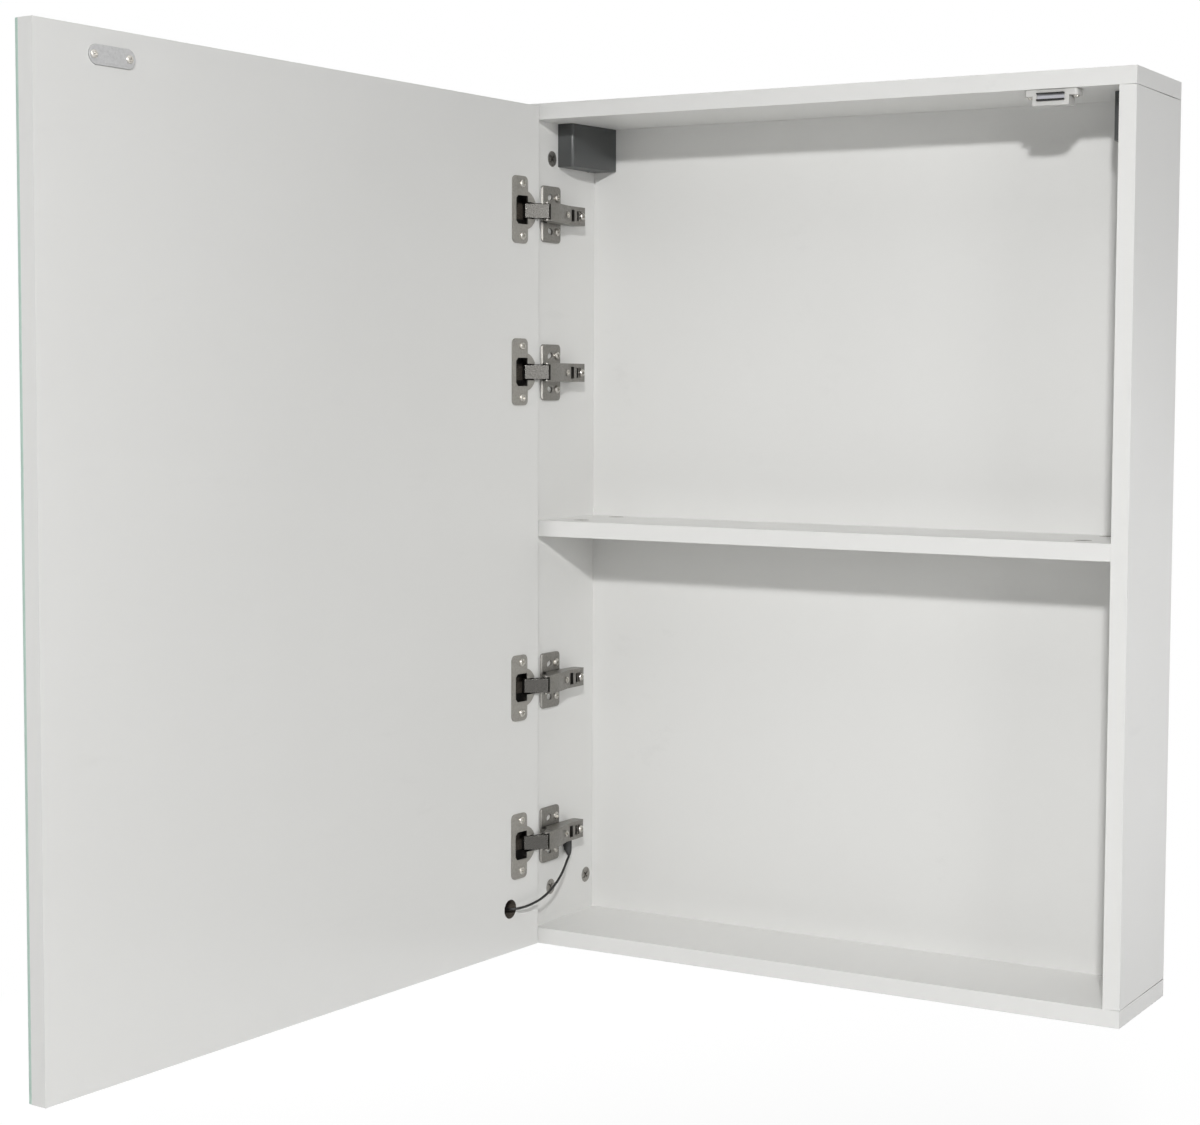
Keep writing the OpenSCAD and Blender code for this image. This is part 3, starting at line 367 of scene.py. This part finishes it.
def shade(value, tint):
    """A tinted grey as a colour."""
    return (value * tint[0], value * tint[1], value * tint[2], 1.0)


def handled_colour(recipe, marks, tone, tint, cloud_share, mark_share):
    """A tone that its clouds and rub marks change to shares of it."""
    clouded = recipe.blend(marks["Cloud"], shade(tone * cloud_share, tint), shade(tone, tint))
    return recipe.blend(marks["Marks"], clouded, shade(tone * mark_share, tint))


def board_material(name, tone, roughness, pearl_scale, pearl_depth):
    """White melamine or painted board: slight clouding, rub marks and a fine pearl."""
    material, recipe, shader, place = start_material(name)
    marks = recipe.use(HANDLING, Place=place, Cloud_Scale=3.5, Mark_Scale=26.0, Mark_Amount=0.6)
    recipe.put(shader.inputs["Base Color"],
               handled_colour(recipe, marks, tone, WARM_WHITE, cloud_share=0.985,
                              mark_share=0.93))
    recipe.put(shader.inputs["Roughness"],
               recipe.between(marks["Cloud"], roughness - 0.04, roughness + 0.04))
    shader.inputs["IOR"].default_value = 1.48
    shader.inputs["Specular IOR Level"].default_value = 0.4
    grain = recipe.use(GRAIN, Place=place, Grain_Scale=pearl_scale)
    add_bump(recipe, shader, grain["Height"], pearl_depth)
    return material


def plastic_material(name, tone, tint, roughness, grain_scale, grain_depth):
    """Moulded plastic or rubber with a fine texture and faint rub marks."""
    material, recipe, shader, place = start_material(name)
    marks = recipe.use(HANDLING, Place=place, Cloud_Scale=40.0, Mark_Scale=160.0,
                       Mark_Amount=0.8)
    recipe.put(shader.inputs["Base Color"],
               handled_colour(recipe, marks, tone, tint, cloud_share=0.9, mark_share=1.25))
    recipe.put(shader.inputs["Roughness"],
               recipe.between(marks["Cloud"], roughness - 0.05, roughness + 0.07))
    grain = recipe.use(GRAIN, Place=place, Grain_Scale=grain_scale)
    add_bump(recipe, shader, grain["Height"], grain_depth)
    return material


def metal_material(name, tone, tint, roughness, tarnish_tone):
    """Plated steel: drawing lines in its gloss and tarnish in patches."""
    material, recipe, shader, place = start_material(name)
    sheet = recipe.use(SHEET_METAL, Place=place, Line_Scale=700.0, Tarnish_Scale=420.0)
    bright = recipe.blend(sheet["Lines"], shade(tone * 0.9, tint), shade(tone, tint))
    tarnish = recipe.maths("MULTIPLY", sheet["Tarnish"], 0.4)
    recipe.put(shader.inputs["Base Color"],
               recipe.blend(tarnish, bright, shade(tarnish_tone, tint)))
    shader.inputs["Metallic"].default_value = 1.0
    rough = recipe.between(sheet["Lines"], roughness - 0.05, roughness + 0.05)
    recipe.put(shader.inputs["Roughness"],
               recipe.maths("MULTIPLY_ADD", sheet["Tarnish"], 0.04, rough))
    add_bump(recipe, shader, sheet["Lines"], 0.004 * MM)
    return material


def mirror_material():
    """Silvered face under clear glass, with faint wiping marks."""
    material, recipe, shader, place = start_material("mirror_silver")
    marks = recipe.use(HANDLING, Place=place, Cloud_Scale=5.0, Mark_Scale=18.0, Mark_Amount=1.0)
    recipe.put(shader.inputs["Base Color"], recipe.blend(
        marks["Cloud"], (0.87, 0.895, 0.885, 1), (0.9, 0.92, 0.915, 1)))
    shader.inputs["Metallic"].default_value = 1.0
    recipe.put(shader.inputs["Roughness"],
               recipe.maths("MULTIPLY_ADD", marks["Marks"], 0.12, 0.015))
    return material


def glass_edge_material():
    """Ground edge of float glass: pale green with fine grinding lines."""
    material, recipe, shader, place = start_material("ground_glass_edge")
    lines = recipe.noise(recipe.stretched(place, (1.0, 1.0, 0.05)), 1500.0, detail=3.0)
    recipe.put(shader.inputs["Base Color"],
               recipe.blend(lines, (0.32, 0.46, 0.40, 1), (0.5, 0.62, 0.56, 1)))
    recipe.put(shader.inputs["Roughness"], recipe.between(lines, 0.25, 0.5))
    return material


def beech_material():
    """Turned beech with its long grain."""
    material, recipe, shader, place = start_material("turned_beech")
    grain = recipe.noise(recipe.stretched(place, (1.0, 1.0, 0.1)), 600.0, detail=4.0)
    recipe.put(shader.inputs["Base Color"],
               recipe.blend(grain, (0.50, 0.33, 0.18, 1), (0.74, 0.56, 0.36, 1)))
    recipe.put(shader.inputs["Roughness"], recipe.between(grain, 0.5, 0.7))
    add_bump(recipe, shader, grain, 0.05 * MM)
    return material


def chipboard_material():
    """Cut chipboard inside the bores: brown chips of different sizes."""
    material, recipe, shader, place = start_material("bare_chipboard")
    chips = recipe.add("ShaderNodeTexVoronoi", Vector=recipe.stretched(place, (1.0, 1.0, 3.0)),
                       Scale=600.0)
    tone = recipe.add("ShaderNodeSeparateColor", Color=chips.outputs["Color"]).outputs[0]
    recipe.put(shader.inputs["Base Color"],
               recipe.blend(tone, (0.035, 0.029, 0.023, 1), (0.1, 0.084, 0.066, 1)))
    recipe.put(shader.inputs["Roughness"], recipe.between(tone, 0.75, 0.95))
    add_bump(recipe, shader, chips.outputs["Distance"], 0.2 * MM)
    return material


# Finishes. Boards: tone, roughness, scale and depth of the pearl. Plastics: tone, tint,
# roughness, scale and depth of the grain. Metals: tone, tint, roughness, tone of the tarnish.
FINISHES = {
    "white_laminate": (board_material, 0.72, 0.42, 700.0, 0.03 * MM),
    "white_backing": (board_material, 0.71, 0.55, 500.0, 0.02 * MM),
    "zinc_fittings": (metal_material, 0.4, NICKEL, 0.42, 0.14),
    "hanger_plastic": (plastic_material, 0.45, NEUTRAL, 0.45, 900.0, 0.02 * MM),
    "cover_plastic": (plastic_material, 0.07, (0.95, 1.0, 1.0), 0.38, 1100.0, 0.02 * MM),
    "plated_steel": (metal_material, 0.56, NEUTRAL, 0.36, 0.37),
    "screw_steel": (metal_material, 0.66, NICKEL, 0.28, 0.3),
    "white_plastic": (plastic_material, 0.58, (1.0, 0.99, 0.96), 0.36, 900.0, 0.01 * MM),
    "ferrite": (plastic_material, 0.62, (0.97, 0.97, 1.04), 0.4, 1400.0, 0.03 * MM),
    "blued_steel": (metal_material, 0.04, NEUTRAL, 0.45, 0.02),
    "hinge_nickel": (metal_material, 0.3, NICKEL, 0.34, 0.17),
    "cup_nickel": (metal_material, 0.41, NICKEL, 0.34, 0.26),
    # darker nickel for the hinge cup's inside: painted shade in its hollow
    "greased_nickel": (metal_material, 0.07, NICKEL, 0.5, 0.03),
    "link_steel": (metal_material, 0.1, NICKEL, 0.27, 0.09),
    # pale nickel for the inner links' rounded edges: partly edge wear, partly a painted
    # highlight
    "worn_edge": (metal_material, 0.95, NICKEL, 0.4, 0.8),
    "heating_foil": (plastic_material, 0.06, NEUTRAL, 0.4, 500.0, 0.02 * MM),
    "black_plastic": (plastic_material, 0.02, NEUTRAL, 0.4, 900.0, 0.02 * MM),
    "boot_rubber": (plastic_material, 0.045, NEUTRAL, 0.6, 1200.0, 0.03 * MM),
    "cable_sheath": (plastic_material, 0.012, NEUTRAL, 0.42, 1500.0, 0.01 * MM),
}
MATERIALS = {name: make(name, *values) for name, (make, *values) in FINISHES.items()}
MATERIALS["beech"] = beech_material()
CHIPBOARD = chipboard_material()


def plain_mesh(bm, name, materials):
    """The finished bmesh as a mesh with its materials."""
    mesh = bpy.data.meshes.new(name)
    bm.to_mesh(mesh)
    bm.free()
    for material in materials:
        mesh.materials.append(material)
    return mesh


def add_ring(bm, middle, radius, side, up, sides):
    """A ring of corners round a middle, in the plane of two directions."""
    return [bm.verts.new(middle + radius * (math.cos(a) * side + math.sin(a) * up))
            for a in (2 * math.pi * k / sides for k in range(sides))]


def skin_rings(bm, rings):
    """Smooth sides from ring to ring, and flat ends."""
    for ring, following in zip(rings, rings[1:]):
        for k, corner in enumerate(ring):
            j = (k + 1) % len(ring)
            bm.faces.new((corner, ring[j], following[j], following[k])).smooth = True
    bm.faces.new(rings[0])
    bm.faces.new(rings[-1])


def curve_through(points, steps):
    """Points on a smooth curve through the given ones, a cubic between each two."""
    ends = [points[0] * 2 - points[1]] + points + [points[-1] * 2 - points[-2]]
    found = []
    for i in range(1, len(ends) - 2):
        before, start, end, after = ends[i - 1:i + 3]
        for k in range(steps):
            t = k / steps
            found.append(0.5 * (2 * start + (end - before) * t
                                + (2 * before - 5 * start + 4 * end - after) * t ** 2
                                + (3 * start - before - 3 * end + after) * t ** 3))
    return found + [points[-1].copy()]


def tube_mesh(name, path, radius, sides, material):
    """A closed tube along a path, which never runs along the reference direction."""
    bm = bmesh.new()
    reference = Vector((1, -1, 0)).normalized()
    rings = []
    for i, point in enumerate(path):
        along = (path[min(i + 1, len(path) - 1)] - path[max(i - 1, 0)]).normalized()
        side = along.cross(reference).normalized()
        rings.append(add_ring(bm, point, radius, side, side.cross(along), sides))
    skin_rings(bm, rings)
    bmesh.ops.recalc_face_normals(bm, faces=bm.faces)
    return plain_mesh(bm, name, [material])


def make_cable():
    """The cable in two lengths, from the boot to the hinge links and from there to the door."""
    points = [Vector(p) * MM + Vector(CABLE_ORIGIN) for p in CABLE_POINTS]
    path = curve_through(points, CABLE_STEPS)
    middle = CABLE_SPLIT * CABLE_STEPS
    halves = [
        ("cable_at_boot", path[:middle - 1:-1], "carcass", "inner_links"),
        ("cable_at_door", path[middle::-1], "inner_links", "door"),
    ]
    for name, way, first_body, last_body in halves:
        piece = add_object(name, tube_mesh(name, way, CABLE_DIAMETER / 2, CABLE_SIDES,
                                           MATERIALS["cable_sheath"]))
        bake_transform(piece)
        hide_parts("door_cable")


def dress_nodes():
    """Each CAD node gets the material of its slot; the mirror glass is made anew instead."""
    for node, slot in SLOT_OF.items():
        if slot == "mirror_glass":
            continue
        finish = "blued_steel" if node == "catch_pole_plates" else slot
        mesh = frame["nodes"][node].data
        mesh.materials.clear()
        mesh.materials.append(MATERIALS[finish])


def merged_copy(node):
    """A CAD node's mesh as a clean bmesh: corners merged and flat faces joined."""
    bm = bmesh.new()
    bm.from_mesh(frame["nodes"][node].data)
    bmesh.ops.remove_doubles(bm, verts=bm.verts, dist=MERGE_DISTANCE)
    bmesh.ops.dissolve_limit(bm, angle_limit=JOIN_ANGLE, verts=bm.verts, edges=bm.edges)
    return bm


def round_edges(bm, radius, shortest=0.0):
    """Round the sharp outward edges; flat faces stay flat, curved ones and the rounding smooth.

    The rounding gets the second material. Inward corners stay, as a fillet there would add to
    the piece.
    """
    angles = {e: e.calc_face_angle() for e in bm.edges if len(e.link_faces) == 2}
    for face in bm.faces:
        face.smooth = any(FLAT_LIMIT < angles.get(e, 0) < SHARP_LIMIT for e in face.edges)
    sharp = [e for e, angle in angles.items()
             if angle >= SHARP_LIMIT and e.is_convex and e.calc_length() > shortest]
    rounded = bmesh.ops.bevel(bm, geom=sharp, offset=radius, segments=ROUNDING_STEPS,
                              profile=0.5, affect="EDGES", clamp_overlap=True)
    for face in rounded["faces"]:
        face.smooth = True
        face.material_index = 1
    bmesh.ops.triangulate(bm, faces=bm.faces)
    for edge in bm.edges:
        edge.smooth = len(edge.link_faces) == 2 and edge.calc_face_angle() < SHARP_LIMIT


def stand_in(name, mesh, node):
    """A finished mesh takes the place of a CAD node, on its body."""
    piece = add_object(name, mesh)
    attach(piece, BODY_OF[node])
    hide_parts(node)


def soften(node, radius, edge_finish=None, shortest=0.0):
    """The node's own shape with its sharp edges rounded, in place of the CAD node."""
    bm = merged_copy(node)
    round_edges(bm, radius, shortest)
    finishes = [SLOT_OF[node], edge_finish or SLOT_OF[node]]
    name = node + "_softened"
    stand_in(name, plain_mesh(bm, name, [MATERIALS[f] for f in finishes]), node)


def open_end_joints(bm):
    """Let the right board's ends fall away towards its outer face, as loosened joints do.

    The gap closes again at the wall, where the back panel holds the boards together.
    """
    everything = bm.verts[:] + bm.edges[:] + bm.faces[:]
    bmesh.ops.bisect_plane(bm, geom=everything, plane_co=(0, -GAP_CLOSES, 0), plane_no=(0, 1, 0))
    outer = max(v.co.x for v in bm.verts)
    top, foot = max(v.co.z for v in bm.verts), min(v.co.z for v in bm.verts)
    for vert in bm.verts:
        if outer - vert.co.x > SAME_LEVEL:
            continue
        gap = END_GAP_FRONT if vert.co.y < -HALF_DEPTH else END_GAP_REAR
        if vert.co.y > -GAP_CLOSES / 2:
            gap = 0
        if top - vert.co.z < SAME_LEVEL:
            vert.co.z -= gap
        elif vert.co.z - foot < SAME_LEVEL:
            vert.co.z += gap


def board_axes(node):
    """The board's own directions: the door's are turned, the others follow the frame."""
    across = DOOR_NORMAL if node == "door_board" else PANEL_NORMAL
    return across, Vector((-across.y, across.x, 0)), Vector((0, 0, 1))


def make_board(node):
    """A board with softened edges, and bare chipboard inside its bores and grooves."""
    bm = merged_copy(node)
    if node == "right_side_panel":
        open_end_joints(bm)
    round_edges(bm, ROUNDING["board"])
    axes = board_axes(node)
    limits = [(min(v.co.dot(a) for v in bm.verts), max(v.co.dot(a) for v in bm.verts))
              for a in axes]
    for face in bm.faces:
        middle = face.calc_center_median()
        depth = min(min(middle.dot(a) - low, high - middle.dot(a))
                    for a, (low, high) in zip(axes, limits))
        face.material_index = 1 if depth > LAMINATE_DEPTH else 0
    name = node + "_softened"
    stand_in(name, plain_mesh(bm, name, [MATERIALS[SLOT_OF[node]], CHIPBOARD]), node)


def make_cup(node):
    """Hinge cup with its flange, and painted shade as a darker nickel over its inside."""
    bm = merged_copy(node)
    round_edges(bm, ROUNDING["cup"])
    flange = max(v.co.dot(DOOR_NORMAL) for v in bm.verts)
    for face in bm.faces:
        depth = flange - face.calc_center_median().dot(DOOR_NORMAL)
        # faces below the flange's rim get the darker nickel, as painted shade in the cup's
        # hollow
        face.material_index = 1 if depth > CUP_RIM_DEPTH else 0
    name = node + "_softened"
    materials = [MATERIALS["cup_nickel"], MATERIALS["greased_nickel"]]
    stand_in(name, plain_mesh(bm, name, materials), node)


def make_mirror():
    """Mirror glass with a polished bevel round its face."""
    bm = merged_copy("mirror_glass")
    round_edges(bm, ROUNDING["mirror"])
    for face in bm.faces:
        face.material_index = 0 if face.normal.dot(-DOOR_NORMAL) > SILVERED_LIMIT else 1
    name = "mirror_with_edge"
    materials = [mirror_material(), glass_edge_material()]
    stand_in(name, plain_mesh(bm, name, materials), "mirror_glass")


def make_boot():
    """Slim rubber boot, round round its cable, with its stem in the side panel."""
    origin = Vector(CABLE_ORIGIN)
    across, along = Vector((1, 0, 0)), Vector((0, 1, 0))
    bm = bmesh.new()
    skin_rings(bm, [
        add_ring(bm, origin + Vector((out, BOOT_BEHIND_FRONT, height)) * MM, radius * MM,
                 across, along, BOOT_SIDES)
        for height, out, radius in BOOT_RINGS
    ])
    reach = BOOT_STEM_LENGTH + BOOT_HEAD_OUT
    middle = Vector((BOOT_HEAD_OUT - reach / 2, BOOT_BEHIND_FRONT, BOOT_STEM_HEIGHT))
    bmesh.ops.create_cone(
        bm, cap_ends=True, segments=BOOT_SIDES, radius1=BOOT_STEM_RADIUS * MM,
        radius2=BOOT_STEM_RADIUS * MM, depth=reach * MM,
        matrix=Matrix.Translation(origin + middle * MM) @ Matrix.Rotation(math.pi / 2, 4, "Y"))
    bmesh.ops.recalc_face_normals(bm, faces=bm.faces)
    name = "cable_boot_rounded"
    stand_in(name, plain_mesh(bm, name, [MATERIALS["boot_rubber"]]), "cable_boot")


class ScrewRecipe(Recipe):
    """Geometry Nodes tree of the cabinet's screws, with named inputs for their sizes."""

    INPUTS = [
        ("Points", "NodeSocketGeometry"), ("Head Radius", "NodeSocketFloat"),
        ("Head Height", "NodeSocketFloat"), ("Shank Radius", "NodeSocketFloat"),
        ("Shank Length", "NodeSocketFloat"), ("Recess Length", "NodeSocketFloat"),
        ("Recess Depth", "NodeSocketFloat"), ("Axis", "NodeSocketVector"),
        ("Material", "NodeSocketMaterial"),
    ]

    def __init__(self):
        super().__init__(bpy.data.node_groups.new("screws_at_points", "GeometryNodeTree"))
        sockets = self.tree.interface
        self.identifiers = {
            label: sockets.new_socket(label, in_out="INPUT", socket_type=kind).identifier
            for label, kind in self.INPUTS
        }
        sockets.new_socket("Geometry", in_out="OUTPUT", socket_type="NodeSocketGeometry")
        self.given = self.add("NodeGroupInput").outputs

    def times(self, first, second):
        return self.maths("MULTIPLY", first, second)

    def vector(self, x=0.0, y=0.0, z=0.0):
        return self.add("ShaderNodeCombineXYZ", X=x, Y=y, Z=z).outputs[0]

    def cylinder(self, sides, radius, depth, **more):
        return self.add("GeometryNodeMeshCylinder", Vertices=sides, Radius=radius, Depth=depth,
                        **more).outputs["Mesh"]

    def moved(self, geometry, offset, turn=(0.0, 0.0, 0.0)):
        return self.add("GeometryNodeTransform", Geometry=geometry, Translation=offset,
                        Rotation=turn).outputs[0]

    def head(self):
        """A cylinder whose upper part is drawn in to a dome, its top at the middle."""
        height = self.given["Head Height"]
        blank = self.cylinder(HEAD_SIDES, self.given["Head Radius"], height,
                              Side_Segments=HEAD_RINGS)
        position = self.add("GeometryNodeInputPosition").outputs[0]
        place = self.add("ShaderNodeSeparateXYZ", Vector=position).outputs
        level = self.maths("ADD", self.maths("DIVIDE", place["Z"], height), 0.5)
        above = self.maths("MAXIMUM", self.maths("SUBTRACT", level, DOME_START), 0.0)
        rise = self.times(above, DOME_PULL)
        narrowing = self.maths("SQRT", self.maths("SUBTRACT", 1.0, self.times(rise, rise)))
        lowered = self.maths("SUBTRACT", place["Z"], self.times(height, 0.5))
        drawn = self.vector(self.times(place["X"], narrowing), self.times(place["Y"], narrowing),
                            lowered)
        return self.add("GeometryNodeSetPosition", Geometry=blank, Position=drawn).outputs[0]

    def recessed(self, head):
        """The head with a cross recess, cut by two blades and a hub."""
        length, depth = self.given["Recess Length"], self.times(self.given["Recess Depth"], 2.0)
        size = self.vector(length, self.times(length, BLADE_WIDTH), depth)
        blade = self.add("GeometryNodeMeshCube", Size=size).outputs["Mesh"]
        hub = self.cylinder(HUB_SIDES, self.times(length, HUB_RADIUS), depth)
        for cutter in (blade, self.moved(blade, (0, 0, 0), (0, 0, math.pi / 2)), hub):
            head = self.add("GeometryNodeMeshBoolean", {"operation": "DIFFERENCE"},
                            Mesh_1=head, Mesh_2=cutter).outputs["Mesh"]
        return head

    def shank(self):
        """The shank, which starts a little above the head's underside."""
        length = self.given["Shank Length"]
        blank = self.cylinder(SHANK_SIDES, self.given["Shank Radius"], length)
        drop = self.maths("ADD", self.times(length, 0.5),
                          self.times(self.given["Head Height"], SHANK_START))
        return self.moved(blank, self.vector(z=self.times(drop, -1.0)))

    def whole(self):
        """The screw with its sharp edges kept sharp."""
        node = self.tree.nodes.new("GeometryNodeJoinGeometry")
        for piece in (self.shank(), self.recessed(self.head())):
            self.tree.links.new(piece, node.inputs[0])
        bend = self.add("GeometryNodeInputMeshEdgeAngle").outputs[0]
        return self.add("GeometryNodeSetShadeSmooth", {"domain": "EDGE"},
                        Geometry=node.outputs[0], Shade_Smooth=False,
                        Selection=self.maths("GREATER_THAN", bend, CRISP_ANGLE)).outputs[0]

    def turns(self):
        """The axis's direction, with a random angle round it for each screw."""
        spin = self.add("FunctionNodeRandomValue", {"data_type": "FLOAT"}, Seed=SPIN_SEED)
        self.put(spin.inputs[3], 2 * math.pi)
        turn = self.add("FunctionNodeAlignRotationToVector", {"axis": "Z"},
                        Vector=self.given["Axis"])
        about = self.add("FunctionNodeAxisAngleToRotation", Angle=spin.outputs[1])
        return self.add("FunctionNodeRotateRotation", {"rotation_space": "LOCAL"},
                        Rotation=turn.outputs[0], Rotate_By=about.outputs[0]).outputs[0]

    def build(self):
        """A screw at each point of the mesh, its head's top at the point."""
        points = self.add("GeometryNodeMeshToPoints", Mesh=self.given["Points"]).outputs[0]
        copies = self.add("GeometryNodeInstanceOnPoints", Points=points, Instance=self.whole(),
                          Rotation=self.turns())
        real = self.add("GeometryNodeRealizeInstances", Geometry=copies.outputs[0])
        painted = self.add("GeometryNodeSetMaterial", Geometry=real.outputs[0],
                           Material=self.given["Material"])
        self.add("NodeGroupOutput", Geometry=painted.outputs[0])
        return self


def solids_of(node):
    """The separate solids of a CAD node, each as a list of its corners."""
    bm = merged_copy(node)
    left = set(bm.verts)
    solids = []
    while left:
        group, reached = [], [left.pop()]
        while reached:
            vert = reached.pop()
            group.append(vert.co.copy())
            for link in vert.link_edges:
                other = link.other_vert(vert)
                if other in left:
                    left.remove(other)
                    reached.append(other)
        solids.append(group)
    bm.free()
    return solids


def screw_tops(node, axis):
    """Middle of each CAD screw's top, in a fixed order, so that each gets the same turn."""
    tops = []
    for corners in solids_of(node):
        low = Vector([min(c[i] for c in corners) for i in range(3)])
        high = Vector([max(c[i] for c in corners) for i in range(3)])
        middle = (low + high) / 2
        tops.append(middle + axis * (max(c.dot(axis) for c in corners) - middle.dot(axis)))
    return sorted(tops, key=lambda top: [round(value, 5) for value in reversed(top)])


def make_screws(recipe, node, axis, head, shank, recess):
    """Screws of one node, each with its head's top where the CAD screw's is."""
    mesh = bpy.data.meshes.new(node + "_tops")
    mesh.from_pydata(screw_tops(node, axis), [], [])
    source = add_object(node + "_tops", mesh)
    modifier = source.modifiers.new("screws", "NODES")
    modifier.node_group = recipe.tree
    values = {
        "Head Radius": head[0] / 2 * MM, "Head Height": head[1] * MM,
        "Shank Radius": shank[0] / 2 * MM, "Shank Length": (shank[1] - TIP_SHORTER) * MM,
        "Recess Length": recess[0] * MM, "Recess Depth": recess[1] * MM,
        "Axis": tuple(axis), "Material": MATERIALS["screw_steel"],
    }
    for label, value in values.items():
        modifier[recipe.identifiers[label]] = value
    bpy.context.view_layer.update()
    graph = bpy.context.evaluated_depsgraph_get()
    finished = bpy.data.meshes.new_from_object(source.evaluated_get(graph))
    bpy.data.objects.remove(source)
    finished.name = node + "_detailed"
    stand_in(node + "_detailed", finished, node)


def soften_pieces():
    """Every board and visible fitting with rounded edges."""
    for board in BOARDS:
        make_board(board)
    soften("back_panel", ROUNDING["back_panel"])
    for side in ("left", "right"):
        soften(side + "_hanger_cover", ROUNDING["hanger_cover"])
    soften("catch_housing", ROUNDING["catch_housing"])
    soften("striker_plate", ROUNDING["striker_plate"])
    for number in HINGES:
        hinge = f"hinge_{number}_"
        soften(hinge + "mounting_plate", ROUNDING["mounting_plate"])
        soften(hinge + "arm", ROUNDING["arm"])
        # the link's rounded edges get the pale finish: partly edge wear, partly a painted
        # highlight
        soften(hinge + "inner_link", ROUNDING["inner_link"], "worn_edge", LINK_SHORTEST_EDGE)
        make_cup(hinge + "cup")


def make_lamp(name, place, aim, width, height, power):
    """A soft rectangular lamp at a place, turned to its aim."""
    data = bpy.data.lights.new(name, "AREA")
    data.shape = "RECTANGLE"
    data.size = width
    data.size_y = height
    data.energy = power
    lamp = add_object(name, data)
    lamp.location = place
    lamp.rotation_euler = (Vector(aim) - Vector(place)).to_track_quat("-Z", "Y").to_euler()


def make_world():
    """Even daylight, with plain white where the camera or a reflection sees past the object."""
    world = bpy.data.worlds.new("studio")
    bpy.context.scene.world = world
    world.use_nodes = True
    world.node_tree.nodes.clear()
    recipe = Recipe(world.node_tree)
    sky = recipe.add("ShaderNodeBackground", Color=WHITE, Strength=SKY_STRENGTH)
    white = recipe.add("ShaderNodeBackground", Color=WHITE, Strength=1.0)
    recipe.add("ShaderNodeOutputWorld", Surface=recipe.mixed_shaders(
        recipe.seen_directly(), sky.outputs[0], white.outputs[0]))


def floor_material():
    """Pale floor that fades into the white background with the distance from its middle."""
    material, recipe, shader, place = start_material("pale_floor")
    shader.inputs["Base Color"].default_value = FLOOR_COLOUR
    shader.inputs["Roughness"].default_value = FLOOR_ROUGHNESS
    centred = recipe.add("ShaderNodeVectorMath", {"operation": "SUBTRACT"})
    recipe.put(centred.inputs[0], place)
    recipe.put(centred.inputs[1], FLOOR_MIDDLE)
    length = recipe.add("ShaderNodeVectorMath", {"operation": "LENGTH"},
                        Vector=centred.outputs[0])
    distance = length.outputs["Value"]
    share = recipe.between(distance, FLOOR_GLOW_SHARE, 1.0, *FLOOR_FADE)
    strength = recipe.between(distance, FLOOR_GLOW_STRENGTH, 1.0, *FLOOR_FADE)
    glow = recipe.add("ShaderNodeEmission", Color=WHITE, Strength=strength)
    surface = recipe.mixed_shaders(recipe.maths("MULTIPLY", share, recipe.seen_directly()),
                                   shader.outputs["BSDF"], glow.outputs[0])
    recipe.put(material.node_tree.nodes["Material Output"].inputs["Surface"], surface)
    return material


def make_floor():
    """A round, flat floor under the object."""
    bm = bmesh.new()
    bmesh.ops.create_circle(bm, cap_ends=True, segments=FLOOR_SIDES, radius=FLOOR_RADIUS)
    bmesh.ops.translate(bm, verts=bm.verts, vec=FLOOR_MIDDLE)
    floor = add_object("floor", plain_mesh(bm, "floor", [floor_material()]))


make_camera()
make_cable()
dress_nodes()
soften_pieces()
screw_recipe = ScrewRecipe().build()
for screws, sizes in SCREWS.items():
    make_screws(screw_recipe, screws, *sizes)
make_boot()
make_mirror()
make_world()
make_floor()
for lamp_name, settings in LAMPS.items():
    make_lamp(lamp_name, *settings)
bpy.context.scene.view_settings.view_transform = "Standard"
